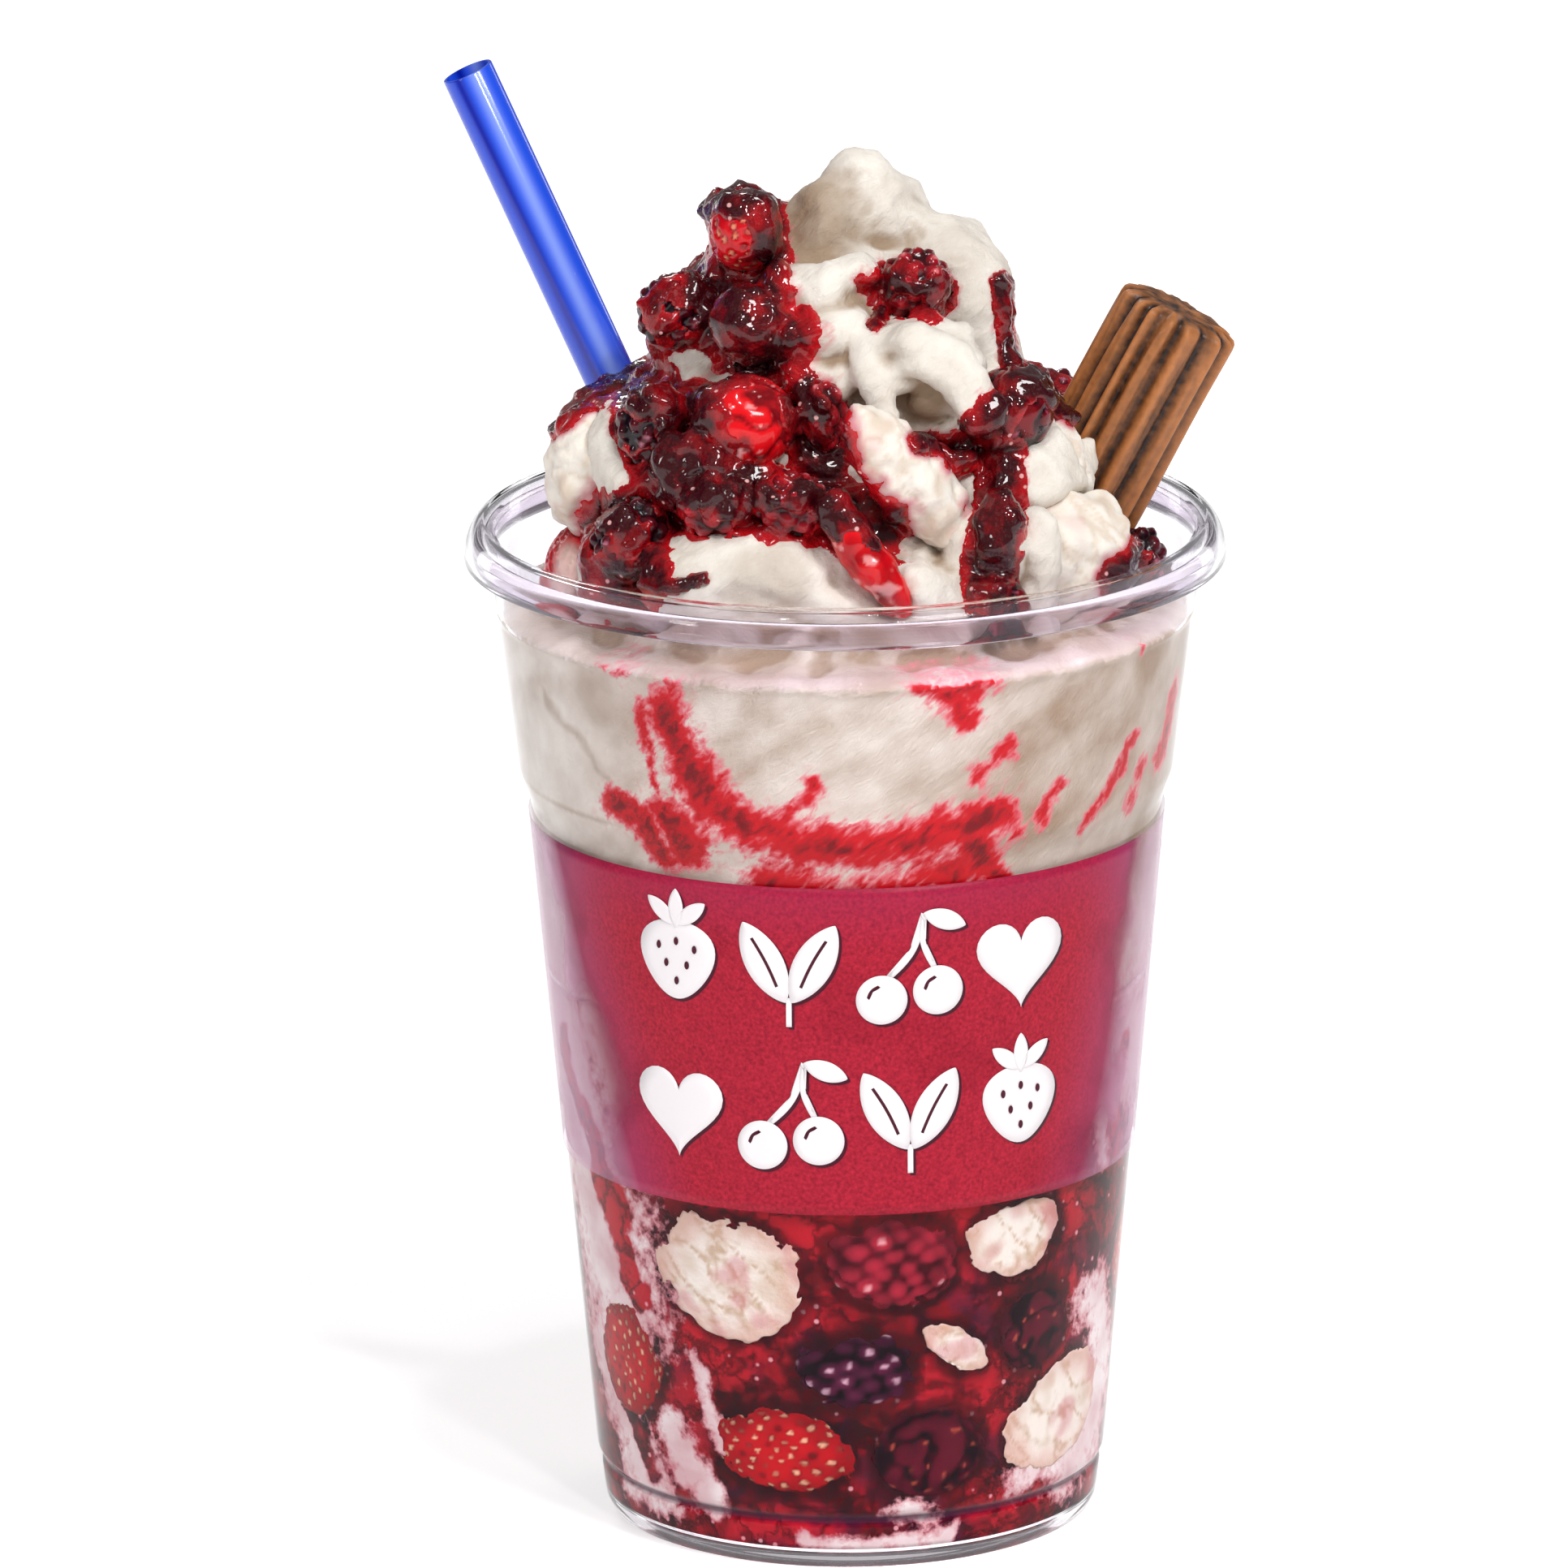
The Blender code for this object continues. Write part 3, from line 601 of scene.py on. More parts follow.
# %% [markdown]
# ## Straw
#
# A drinking straw is extruded polypropylene: an even thin tube, glossy and a little milky. Its colour
# carries a painted dark reflection and a painted highlight, each a stripe along its whole length. A
# tube with a real bore and eased cut ends gives the ellipse that shows at the tip.

# %% Straw
STRAW_TIP = Vector((-46.5, 10.0, 182.9))
STRAW_LEAN = 23.8
STRAW_LENGTH = 166.0
STRAW_RADIUS = 3.25
STRAW_WALL = 0.4


def stand(mesh, tip, lean):
    """Leans a mesh that hangs from the origin by so many degrees to the left, and moves it to its tip."""
    mesh.transform(Matrix.Translation(tip * MM) @ Matrix.Rotation(math.radians(-lean), 4, "Y"))


blue, blue_shader = new_material("extruded_polypropylene", Roughness=0.16, IOR=1.49, Coat_Weight=0.4)
dark_reflection_stripe, highlight_stripe = (add(blue, "Attribute", attribute_name=n).outputs["Fac"] for n in ("dark_reflection_stripe", "highlight_stripe"))
# a painted dark reflection and a painted highlight, each a stripe along the tube
blue_with_dark_reflection = add(blue, "Mix", {0: dark_reflection_stripe, 6: colour("#2050E2"), 7: colour("#04159A")}, data_type="RGBA")
lit_blue = add(blue, "Mix", {0: highlight_stripe, 6: blue_with_dark_reflection, 7: colour("#8FA8F6")}, data_type="RGBA")
link(blue, lit_blue, blue_shader, "Base Color")
ends = [(STRAW_RADIUS - 0.08, 0), (STRAW_RADIUS, -0.1), (STRAW_RADIUS, -STRAW_LENGTH + 0.1)]
ends += [(STRAW_RADIUS - 0.08, -STRAW_LENGTH), (STRAW_RADIUS - STRAW_WALL, -STRAW_LENGTH)]
ends += [(STRAW_RADIUS - STRAW_WALL, 0)]
straw_mesh = turned("straw_tube", ends[::-1], 72)
spots = points_of(straw_mesh)
side_share = spots[:, 0] / STRAW_RADIUS  # -1 at the tube's left edge and 1 at its right
# a painted dark reflection down the tube's left and a painted highlight down its right
paint(straw_mesh, "dark_reflection_stripe", np.exp(-(((side_share + 0.38) / 0.2) ** 2)) * 0.95)
paint(straw_mesh, "highlight_stripe", np.exp(-(((side_share - 0.3) / 0.26) ** 2)) * 0.75)
stand(straw_mesh, STRAW_TIP, STRAW_LEAN)
to_object("straw_tube", straw_mesh, blue, "straw")
straw_mesh.set_sharp_from_angle(angle=math.radians(50))

# %% [markdown]
# ## Chocolate stick
#
# The stick is milk chocolate scraped into a thin sheet and gathered into folds, so it has deep,
# uneven ribs along its length and ragged folds at its end. Ribs could be a bump, but they show on
# its outline, so they are made in the mesh: each ring of points follows a sum of two waves whose
# phase drifts along the stick.

# %% Chocolate material
chocolate, chocolate_shader = new_material("milk_chocolate", IOR=1.46, Coat_Weight=0.05)
where = add(chocolate, "TexCoord").outputs["Object"]
rib = add(chocolate, "Attribute", attribute_name="rib").outputs["Fac"]
flecks = add(chocolate, "TexNoise", {"Vector": where, "Scale": 1 / (1.1 * MM), "Detail": 4.0})
speck = add(chocolate, "MapRange", [flecks, 0.3, 0.7, -0.14, 0.14])
# painted shade: low rib heights darken the grooves and crests stay light, with random flecks over both
shade_and_mark_tone = add(chocolate, "Math", [rib, speck], operation="ADD", use_clamp=True)
brown_with_groove_shade = add(chocolate, "Mix", {0: shade_and_mark_tone, 6: colour("#1E0A05"), 7: colour("#B8733E")}, data_type="RGBA")
gloss = add(chocolate, "MapRange", {0: flecks, 3: 0.38, 4: 0.62})
rough = add(chocolate, "Bump", {"Height": flecks, "Strength": 0.5, "Distance": 0.0003})
for made, name in ((brown_with_groove_shade, "Base Color"), (gloss, "Roughness"), (rough, "Normal")):
    link(chocolate, made, chocolate_shader, name)

# %% Chocolate stick
STICK_TOP = Vector((41.8, -1.0, 154.2))
STICK_LEAN = -28.0
STICK_LENGTH = 56.0
STICK_RADIUS = 8.05
STICK_RIBS = 15
STICK_RIB_DEPTH = 1.35
STICK_SIDES = 240


def stick_ring(depth, drawn_in):
    """One ring of the stick's outline, and how far up its ribs each point lies."""
    turn = np.arange(STICK_SIDES) * 2 * math.pi / STICK_SIDES
    drift = 0.25 * math.sin(depth / 17) + 0.1 * math.sin(depth / 5)
    wave = np.cos(STICK_RIBS * turn + 1.6 * np.sin(3 * turn) + drift * 3)
    fine = np.cos(STICK_RIBS * 2.0 * turn + 2.2 * np.sin(2 * turn) - drift * 4)
    height = np.clip(0.5 + 0.5 * (0.75 * np.sign(wave) * np.abs(wave) ** 0.6 + 0.25 * fine), 0, 1)
    radius = STICK_RADIUS - STICK_RIB_DEPTH * (1 - height) - drawn_in
    return np.c_[radius * np.cos(turn), 0.92 * radius * np.sin(turn), np.full(STICK_SIDES, -depth)], height


stations = [(0.0, 1.1), (0.25, 0.45), (0.7, 0.1)]
stations += [(d, 0.0) for d in np.linspace(1.4, STICK_LENGTH - 1.4, 60)]
stations += [(STICK_LENGTH - 0.3, 0.5), (STICK_LENGTH, 1.2)]
rings, ribs = zip(*[stick_ring(d, e) for d, e in stations])
cap_shares = [0.82, 0.6, 0.38, 0.15]
caps, cap_ribs = [], []
for share in cap_shares:
    ring = rings[0].copy()
    ring[:, :2] *= share
    ring[:, 2] += 0.35 + 0.4 * bumps(ring * [1, 1, 0], 2.2, seed=3)
    caps.append(ring)
    cap_ribs.append(np.clip(0.45 + bumps(ring * [1, 1, 0], 1.6, seed=4), 0, 1))
bottom = [rings[-1] * [s, s, 1] for s in (0.5, 0.05)]
layers = caps[::-1] + list(rings) + bottom
heights_of_ribs = np.concatenate(cap_ribs[::-1] + list(ribs) + [ribs[-1]] * 2)
faces = []
for row in range(len(layers) - 1):
    for k in range(STICK_SIDES):
        after = (k + 1) % STICK_SIDES
        low, high = row * STICK_SIDES, (row + 1) * STICK_SIDES
        faces.append((low + k, high + k, high + after, low + after))
faces.append(tuple(range(STICK_SIDES)))
faces.append(tuple((len(layers) - 1) * STICK_SIDES + k for k in reversed(range(STICK_SIDES))))
stick_mesh = mesh_of("flaked_stick", np.concatenate(layers), faces)
paint(stick_mesh, "rib", heights_of_ribs)
stand(stick_mesh, STICK_TOP, STICK_LEAN)
to_object("flaked_stick", stick_mesh, chocolate, "chocolate_stick")
print("stick faces:", len(stick_mesh.polygons))

# %% [markdown]
# ## Where the sauce runs
#
# The berry sauce is poured last. It pools on ledges and runs down between the folds, over the cream
# and round the fruit. Both the cream, which it stains pink, and the sauce itself need to know where
# it lies, so its runs come first: each is a short path over the mound, with a width. The distance
# from a point to the nearest path, made ragged by noise, says how deep the sauce is there.

# %% Sauce paths
FRONT_RUNS = [
    # (half width in mm, path of (millimetres right of the axis, millimetres up in the front view))
    (2.6, [(-16.5, 162), (-10.5, 162)]),
    (2.8, [(-9.5, 161), (-9, 154)]),
    (6.8, [(-20.5, 150.5), (-13, 149), (-10, 144.5)]),
    (2.0, [(-26, 142.5), (-31, 138.5), (-36, 135)]),
    (5.6, [(-24, 137.5), (-22, 131)]),
    (4.6, [(-18, 136), (-17, 129)]),
    (4.6, [(-4.5, 136.5), (-3, 130)]),
    (5.2, [(-20, 126), (-10, 125), (-2, 124), (3, 121.5)]),
    (5.4, [(-28, 122), (-26.6, 117)]),
    (1.1, [(-25, 115), (-21, 114.4), (-17.5, 115.4)]),
    (1.6, [(-4.5, 126.5), (-2, 122)]),
    (3.6, [(5.8, 151.4), (10.6, 150.4)]),
    (1.2, [(4.6, 148.2), (3.8, 146.4)]),
    (1.5, [(19.5, 152), (20, 146), (20.5, 142)]),
    (1.8, [(9.5, 131.8), (14, 131.5)]),
    (3.4, [(15, 131), (20, 136.5), (23, 139.5)]),
    (1.7, [(23, 139), (28, 135.5)]),
    (3.6, [(18, 131), (19, 126), (18.5, 120), (17.5, 113)]),
    (2.4, [(36, 118), (33, 115)]),
]
BACK_RUNS = [
    # (half width in mm, path of points in mm)
    (5.5, [(3, 15, 160), (1, 20, 155), (6, 24, 150)]),
    (6.5, [(-10, 24, 150), (-2, 29, 139), (-2, 33, 130)]),
    (5.0, [(24, 20, 139), (29, 20, 130), (30, 22, 124)]),
    (5.0, [(-24, 16, 137), (-27, 24, 129), (-25, 29, 123)]),
    (4.0, [(12, 26, 143), (6, 32, 134), (3, 36, 124)]),
    (4.0, [(28, 2, 136), (34, 4, 127), (37, 6, 121)]),
    (4.0, [(-30, 2, 140), (-35, 4, 130), (-38, 6, 122)]),
]


def distance_to_path(points, path):
    """How far each point is from a path of straight stretches."""
    nearest = np.full(len(points), 1e9)
    for start, end in zip(path, path[1:]):
        start, end = np.array(start, float), np.array(end, float)
        run = end - start
        share = np.clip((points - start) @ run / (run @ run), 0, 1)
        nearest = np.minimum(nearest, np.linalg.norm(points - start - share[:, None] * run, axis=1))
    return nearest


def front_view(points):
    """Millimetres right of the axis and up, as the front view shows each point."""
    up = points[:, 2] * math.cos(ELEVATION) + points[:, 1] * math.sin(ELEVATION)
    return np.c_[points[:, 0], up]


def sauce_depth(points, normals):
    """1 in the middle of a run, 0 at its edge and below 0 away from it."""
    facing = normals @ np.array([0, -math.cos(ELEVATION), math.sin(ELEVATION)])
    flat = front_view(points)
    front = np.full(len(points), -3.0)
    for width, path in FRONT_RUNS:
        front = np.maximum(front, 1 - distance_to_path(flat, path) / width)
    front -= 3 * (1 - ease(facing, -0.25, 0.1)) + 3 * ease(points[:, 1], 4, 12)
    back = np.full(len(points), -3.0)
    for width, path in BACK_RUNS:
        back = np.maximum(back, 1 - distance_to_path(points, path) / width)
    ragged = 0.3 * bumps(points, 4.5, 3, seed=1) + 0.2 * bumps(points, 1.6, seed=2)
    return np.maximum(front, back) + ragged


# %% [markdown]
# ## Streaks against the wall
#
# Below the rim the cream is pressed against the clear wall, and sauce that was folded through it
# shows there as feathery red streaks. They are painted on the filling, not modelled, because on the
# real thing they are flush with the wall. Each streak is a path in degrees round from the front and
# millimetres up, with a width, and the back of the cup gets the mirrored pattern.

# %% Streak paths
STREAKS = [
    # (width in mm, strength, path of (bearing, height))
    (2.0, 1.0, [(-31, 113), (-28, 106), (-24, 101), (-17, 98), (-8, 97), (3, 96), (14, 97), (27, 99)]),
    (1.7, 0.9, [(-36, 99), (-31, 98), (-30, 95), (-27, 96)]),
    (1.5, 0.9, [(-45, 99), (-39, 98), (-36, 94)]),
    (0.7, 0.7, [(-37, 113), (-37, 108), (-35, 102)]),
    (0.9, 0.8, [(-12, 99), (-8, 102), (-6, 105)]),
    (1.6, 0.9, [(13, 118), (19, 116), (23, 118)]),
    (1.1, 1.0, [(16, 116), (20, 112)]),
    (1.0, 0.8, [(-48, 122), (-44, 119), (-40, 118)]),
    (0.8, 0.8, [(23, 105), (29, 108)]),
    (1.3, 0.9, [(76, 109), (74, 104), (70, 101)]),
    (0.8, 0.7, [(36, 98), (40, 102)]),
    (0.7, 0.7, [(45, 95), (52, 99), (58, 105)]),
    (0.9, 0.6, [(60, 96), (64, 101)]),
    (0.6, 0.6, [(56, 119), (57, 117)]),
    (2.2, 0.8, [(-16, 92), (-4, 90.5)]),
    (2.4, 0.75, [(2, 91), (16, 92), (24, 93)]),
    (1.2, 0.9, [(20, 97), (26, 92), (29, 90)]),
]
TAN_STREAKS = [
    (1.6, 0.6, [(-5, 113), (-3, 109)]),
    (0.5, 0.8, [(-62, 110), (-50, 105), (-45, 102)]),
    (0.9, 0.6, [(27, 112), (38, 116), (48, 119)]),
    (0.6, 0.5, [(-20, 117), (0, 117), (12, 117)]),
]


def wall_place(points):
    """Bearing from the front, mirrored for the back half, and height of each point."""
    round_from_front = np.degrees(np.arctan2(points[:, 0], -points[:, 1]))
    behind = np.abs(round_from_front) > 90
    mirrored = np.sign(round_from_front) * 180 - round_from_front
    return np.where(behind, mirrored, round_from_front), points[:, 2]


def streak_cover(points, streaks, feather=1.0, spread=1.0):
    """How strongly streaks cover each point near the wall, with feathered edges."""
    turn, height = wall_place(points)
    flat = np.c_[np.radians(turn) * outer_radius(height), height, np.zeros(len(points))]
    flat[:, 0] += 1.3 * feather * bumps(points, 6.0, 3, seed=5)
    flat[:, 1] += 1.3 * feather * bumps(points, 6.0, 3, seed=6)
    cover = np.zeros(len(points))
    for width, strength, path in streaks:
        unrolled = [(math.radians(b) * float(outer_radius(z)), z, 0) for b, z in path]
        near = 1 - distance_to_path(flat, unrolled) / (width * 2.4 * spread)
        cover = np.maximum(cover, strength * np.clip(near * 1.15, 0, 1))
    return cover


def slanting_fold_shade(points):
    """Soft slanting bands, 0 to 1, of painted shade in the folds that the spoon left in the cream against
    the wall.
    """
    turn, height = wall_place(points)
    along = np.radians(turn) * 42
    slant = math.radians(32)
    across = height * math.cos(slant) - along * math.sin(slant)
    down = along * math.cos(slant) + height * math.sin(slant)
    flat = np.c_[down * 0.35, across, points[:, 1] * 0.1]
    warp = bumps(flat, 12, 2, seed=31) * 4
    flat[:, 1] += warp
    return ease(bumps(flat, 6.5, 4, seed=32), -0.45, 0.75)


# %% [markdown]
# ## Whipped cream
#
# Soft whipped cream holds the folds that the spoon left, with sharp crests and smooth hollows. It
# could be sculpted by hand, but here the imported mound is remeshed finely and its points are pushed
# out by ridged noise, which has exactly that look: round valleys between creases. Where the cream
# meets the wall its points are put just inside the plastic, so that no gap shows.

# %% Cream material
cream, cream_shader = new_material(
    "soft_whipped_cream",
    Roughness=0.48,
    IOR=1.45,
    Specular_IOR_Level=0.2,
    Subsurface_Weight=0.12,
    Subsurface_Scale=0.002,
    Subsurface_Radius=(1.0, 0.92, 0.84),
)
where = add(cream, "TexCoord").outputs["Object"]
stain, streak, painted_cream_shade = (
    add(cream, "Attribute", attribute_name=n).outputs["Fac"] for n in ("stain", "streak", "painted_cream_shade")
)
long_and_slanting = {"Vector": where, "Rotation": (0.0, -0.75, 0.0), "Scale": (2.6, 1.0, 1.0)}
slanting = add(cream, "Mapping", long_and_slanting, vector_type="TEXTURE")
frayed = {"Vector": slanting, "Scale": 1 / (0.9 * MM), "Detail": 6.0, "Roughness": 0.6, "Distortion": 0.3}
fibres = add(cream, "TexNoise", frayed)
patches = add(cream, "TexNoise", {"Vector": where, "Scale": 1 / (6 * MM), "Detail": 4.0})
toned = add(cream, "MapRange", [patches, 0.35, 0.65, -0.12, 0.16])
shade_and_patch_tone = add(cream, "Math", [painted_cream_shade, toned], operation="ADD", use_clamp=True)
# painted shade: the cream greys to tan where its shade attribute and the patches are high
cream_with_shade = add(cream, "Mix", {0: shade_and_patch_tone, 6: colour("#F1EAE0"), 7: colour("#A68F78")}, data_type="RGBA")
pink_edge = add(cream, "MapRange", [fibres, 0.35, 0.65, -0.3, 0.3])
blushed = add(cream, "Math", [stain, pink_edge], operation="ADD", use_clamp=True)
blush_cut = add(cream, "MapRange", [blushed, 0.3, 1.0, 0.0, 0.9])
torn = add(cream, "MapRange", [fibres, 0.32, 0.68, -0.24, 0.24])
thinned = add(cream, "MapRange", [patches, 0.35, 0.65, -0.22, 0.12])
uneven = add(cream, "Math", [torn, thinned], operation="ADD")
nearby = add(cream, "MapRange", [streak, 0.0, 0.2])
local = add(cream, "Math", [uneven, nearby], operation="MULTIPLY")
ragged = add(cream, "Math", [streak, local], operation="ADD")
pinked = add(cream, "MapRange", [ragged, 0.1, 0.44], interpolation_type="SMOOTHSTEP")
cut = add(cream, "MapRange", [ragged, 0.3, 0.66], interpolation_type="SMOOTHSTEP")
deep = add(cream, "MapRange", [ragged, 0.7, 1.1], interpolation_type="SMOOTHSTEP")
juice = add(cream, "Mix", {0: deep, 6: colour("#C80818"), 7: colour("#78020E")}, data_type="RGBA")
mixed = cream_with_shade
for share, over in ((blush_cut, colour("#DC8088")), (pinked, colour("#E07A82")), (cut, juice)):
    mixed = add(cream, "Mix", {0: share, 6: mixed, 7: over}, data_type="RGBA")
fine = add(cream, "Bump", {"Height": fibres, "Strength": 0.6, "Distance": 0.0006})
link(cream, mixed, cream_shader, "Base Color")
link(cream, fine, cream_shader, "Normal")

# %% [markdown]
# A spoon of cream is laid on in overlapping tongues, and where two meet there is a sharp crease. So
# small flattened balls are sunk into the smoothed mound, lying along its surface, and one voxel
# remesh melts them all together. The curl and the ruffle by the peak are chains of such balls.

# %% Tongues of cream
CREAM_VOXEL = 0.6
TONGUES = 46
TONGUE_THICKNESS = 1.9
TONGUES_TO = 158  # mm up, because the peak has no tongues
CURL_DENT = np.array([10.2, -25.5, 149.2])  # the middle of the hollow under the curl
DENT_DEPTH = 4.4
CHAINS = [
    # (thickness at the start and the end, path) of the curl's two arms, the ruffle's folds and the
    # cream beside the run of sauce
    (2.5, 2.1, [(3.2, -22, 155.6), (8.5, -25.2, 156.4), (14, -25.6, 154), (17, -26, 148.4)]),
    (2.2, 1.8, [(5, -23, 153.8), (9.5, -25.8, 154), (13.4, -26.4, 151.6), (15.4, -26.8, 147.4)]),
    (2.4, 1.6, [(3.2, -22, 155.6), (3.4, -25.4, 151), (5.8, -27.4, 145.6)]),
    (3.2, 2.4, [(-6.6, -16.2, 161.4), (-2.4, -18.2, 161.4), (1.6, -17.2, 163.6)]),
    (3.1, 2.3, [(-6.8, -18.4, 156), (-2.4, -20.6, 156), (1.2, -20.2, 158)]),
    (2.8, 2.0, [(-5, -20.6, 151), (-1.2, -22, 150.6), (2.2, -21.4, 152.4)]),
    (2.2, 2.6, [(14.6, -29.6, 134), (14.2, -30.4, 130), (14.5, -31.4, 125)]),
    (2.2, 2.4, [(23.6, -28.4, 134), (23.8, -29.2, 129), (23.4, -30.2, 124)]),
]


def melt(voxel, rounds):
    """The modifiers that melt overlapping meshes into one skin and smooth it."""
    return [
        ("REMESH", {"mode": "VOXEL", "voxel_size": voxel * MM}),
        ("SMOOTH", {"factor": 0.5, "iterations": rounds}),
    ]


def joined(name, meshes):
    """One mesh that holds all of the given ones."""
    shape = bmesh.new()
    for mesh in meshes:
        shape.from_mesh(mesh)
    return made_from(shape, name)


def ball(centre, half, turn=Matrix.Identity(3)):
    """A small ball of cream, stretched along its own axes."""
    shape = bmesh.new()
    size = Matrix.Diagonal((*(Vector(half) * MM), 1))
    place = Matrix.Translation(Vector(centre) * MM) @ turn.to_4x4() @ size
    bmesh.ops.create_icosphere(shape, subdivisions=3, radius=1, matrix=place)
    return made_from(shape, "ball")


def chain(start_size, end_size, path):
    """Balls set close together along a path, so that they melt into one fold."""
    result = []
    steps = 14
    knots = [Vector(p) for p in path]
    for k in range(steps + 1):
        share = k / steps * (len(knots) - 1)
        n = min(int(share), len(knots) - 2)
        size = start_size + (end_size - start_size) * k / steps
        result.append(ball(knots[n].lerp(knots[n + 1], share - n), (size, size, size)))
    return result


def top_of(node):
    """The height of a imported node's top in millimetres."""
    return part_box(node)[1].z / MM


def share_of_box(points, node, margin=0.0):
    """How far out each point lies: 0 in the middle of a node's box, and 1 on the ball that fills it."""
    low, high = (np.array(corner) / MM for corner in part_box(node))
    return np.linalg.norm((points - (low + high) / 2) / ((high - low) / 2 + margin), axis=1)


def toppings_near(points, names, margin):
    """True for each point that lies within a margin of one of the named toppings."""
    near = np.zeros(len(points), bool)
    for name in names:
        near |= share_of_box(points, name, margin) < 1
    return near


NOT_TOPPINGS = ("cup", "printed_band", "straw", "chocolate_stick", "whipped_cream")
topping_names = [n for n in nodes if n not in NOT_TOPPINGS and top_of(n) > CREAM_LEVEL]
base = evaluated(packed_mesh("whipped_cream"), "cream_base", melt(0.7, 10))
spots, out = points_of(base), normals_of(base)
to_dent = np.linalg.norm(spots - CURL_DENT, axis=1)
set_points(base, spots - out * (DENT_DEPTH * (1 - ease(to_dent, 2.2, 5.6)))[:, None])
free = (spots[:, 2] > CREAM_LEVEL + 3) & (np.hypot(spots[:, 0], spots[:, 1]) < 36)
free &= ~toppings_near(spots, topping_names, 1.5) & (spots[:, 2] < TONGUES_TO)
rng = np.random.default_rng(11)
picked = rng.choice(np.flatnonzero(free), TONGUES, replace=False)
tongues = []
for point, normal in zip(spots[picked], out[picked]):
    normal = Vector(normal)
    sweep = Vector((-point[1], point[0], rng.uniform(-14, 14))).normalized()
    along = (sweep - normal * sweep.dot(normal)).normalized()
    turn = Matrix((along, normal.cross(along), normal)).transposed()
    length = rng.uniform(5.0, 8.5)
    half = (length, length * rng.uniform(0.38, 0.5), TONGUE_THICKNESS)
    tongues.append(ball(Vector(point) - normal * 0.7, half, turn))
for start_size, end_size, path in CHAINS:
    tongues += chain(start_size, end_size, path)
print("tongues of cream:", len(tongues))

# %% Cream mesh
FOLD_HEIGHT = 0.9
SMALL_FOLD_HEIGHT = 0.3
cream_mesh = evaluated(joined("cream_parts", [base] + tongues), "cream", melt(CREAM_VOXEL, 4))
spots, out = points_of(cream_mesh), normals_of(cream_mesh)
radial = np.hypot(spots[:, 0], spots[:, 1])
NEAR_WALL = 1.55  # mm in from the wall's outside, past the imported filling's own side
at_wall = (radial > outer_radius(spots[:, 2]) - NEAR_WALL) & (spots[:, 2] < CREAM_LEVEL + 0.4)
warp = np.c_[bumps(spots, 9, seed=7), bumps(spots, 9, seed=8), bumps(spots, 9, seed=9)] * 3.0
crests = 1 - np.abs(bumps(spots + warp, 8.0, seed=10)) * 2
small_crests = 1 - np.abs(bumps(spots + warp * 0.4, 2.4, seed=11)) * 2
free = 1 - ease(radial - outer_radius(spots[:, 2]), -5, -2)
free = np.where(spots[:, 2] < LAYER_SPLIT + 2, 0, free)
calm = ease(np.linalg.norm(spots - CURL_DENT, axis=1), 4, 10)
push = free * (FOLD_HEIGHT * calm * (crests - 0.45) + SMALL_FOLD_HEIGHT * (small_crests - 0.45))
spots = spots + out * push[:, None]
reach = outer_radius(spots[:, 2]) - WALL + SINK
for axis in (0, 1):
    spots[:, axis] = np.where(at_wall, spots[:, axis] * reach / np.maximum(radial, 1), spots[:, axis])
set_points(cream_mesh, spots)

# %% [markdown]
# Cream is not one white. Its colour carries painted shade: it is greyer in its hollows and on the peak's
# left face, and tan in slanting folds where the wall and the rim shade it. It is also pink beside sauce
# and crossed by red streaks at the wall. One number a point for each of these, stored on the mesh,
# tells the material where they lie. A hollow is found by smoothing a copy of the mesh: where the
# smooth copy lies outside the mesh, the mesh is hollow.

# %% Hollows of a mesh
def cavity(mesh, rounds):
    """How deep each point lies in a hollow, in millimetres, against the mesh smoothed by so many rounds."""
    ends = np.empty(len(mesh.edges) * 2, dtype=np.int32)
    mesh.edges.foreach_get("vertices", ends)
    a, b = ends[0::2], ends[1::2]
    spots = points_of(mesh)
    count = np.bincount(a, minlength=len(spots)) + np.bincount(b, minlength=len(spots))
    smooth = spots.copy()
    for _ in range(rounds):
        for axis in range(3):
            line = smooth[:, axis]
            total = np.bincount(a, line[b], len(spots)) + np.bincount(b, line[a], len(spots))
            smooth[:, axis] = total / np.maximum(count, 1)
    return ((smooth - spots) * normals_of(mesh)).sum(axis=1)


# %% Tones of the cream
SHADED = [
    # (radius in mm, strength, centre) of painted shade on the cream, such as the peak's left face
    (10.0, 0.8, (-5.5, -8, 167)),
    (4.6, 1.0, (10.0, -22.5, 149)),
    (7.0, 0.35, (-10, -37.5, 129)),
    (3.0, 0.6, (1.2, -22.5, 149.4)),
    (5.0, 0.3, (14.5, -9.4, 164.8)),
    (1.6, 0.4, (1.0, -6.8, 173.2)),
]
MOULD_RINGS = (117.4, 96.3)  # heights at which a moulded ring shades the cream behind it
depth = sauce_depth(spots, normals_of(cream_mesh))
above = spots[:, 2] > CREAM_LEVEL + 1
shaded_pits = cavity(cream_mesh, 30)
round_to = wall_place(spots)[0]
# painted shade at the wall: slanting fold shade, more towards the front and the right, less low down
to_front = 1 - ease(np.abs(round_to), 25, 60)
wall_shade_tone = 0.16 + 0.18 * to_front + 0.4 * slanting_fold_shade(spots) + 0.4 * ease(round_to, 15, 50)
wall_shade_tone *= 0.25 + 0.75 * ease(spots[:, 2], LAYER_SPLIT + 4, LAYER_SPLIT + 22)
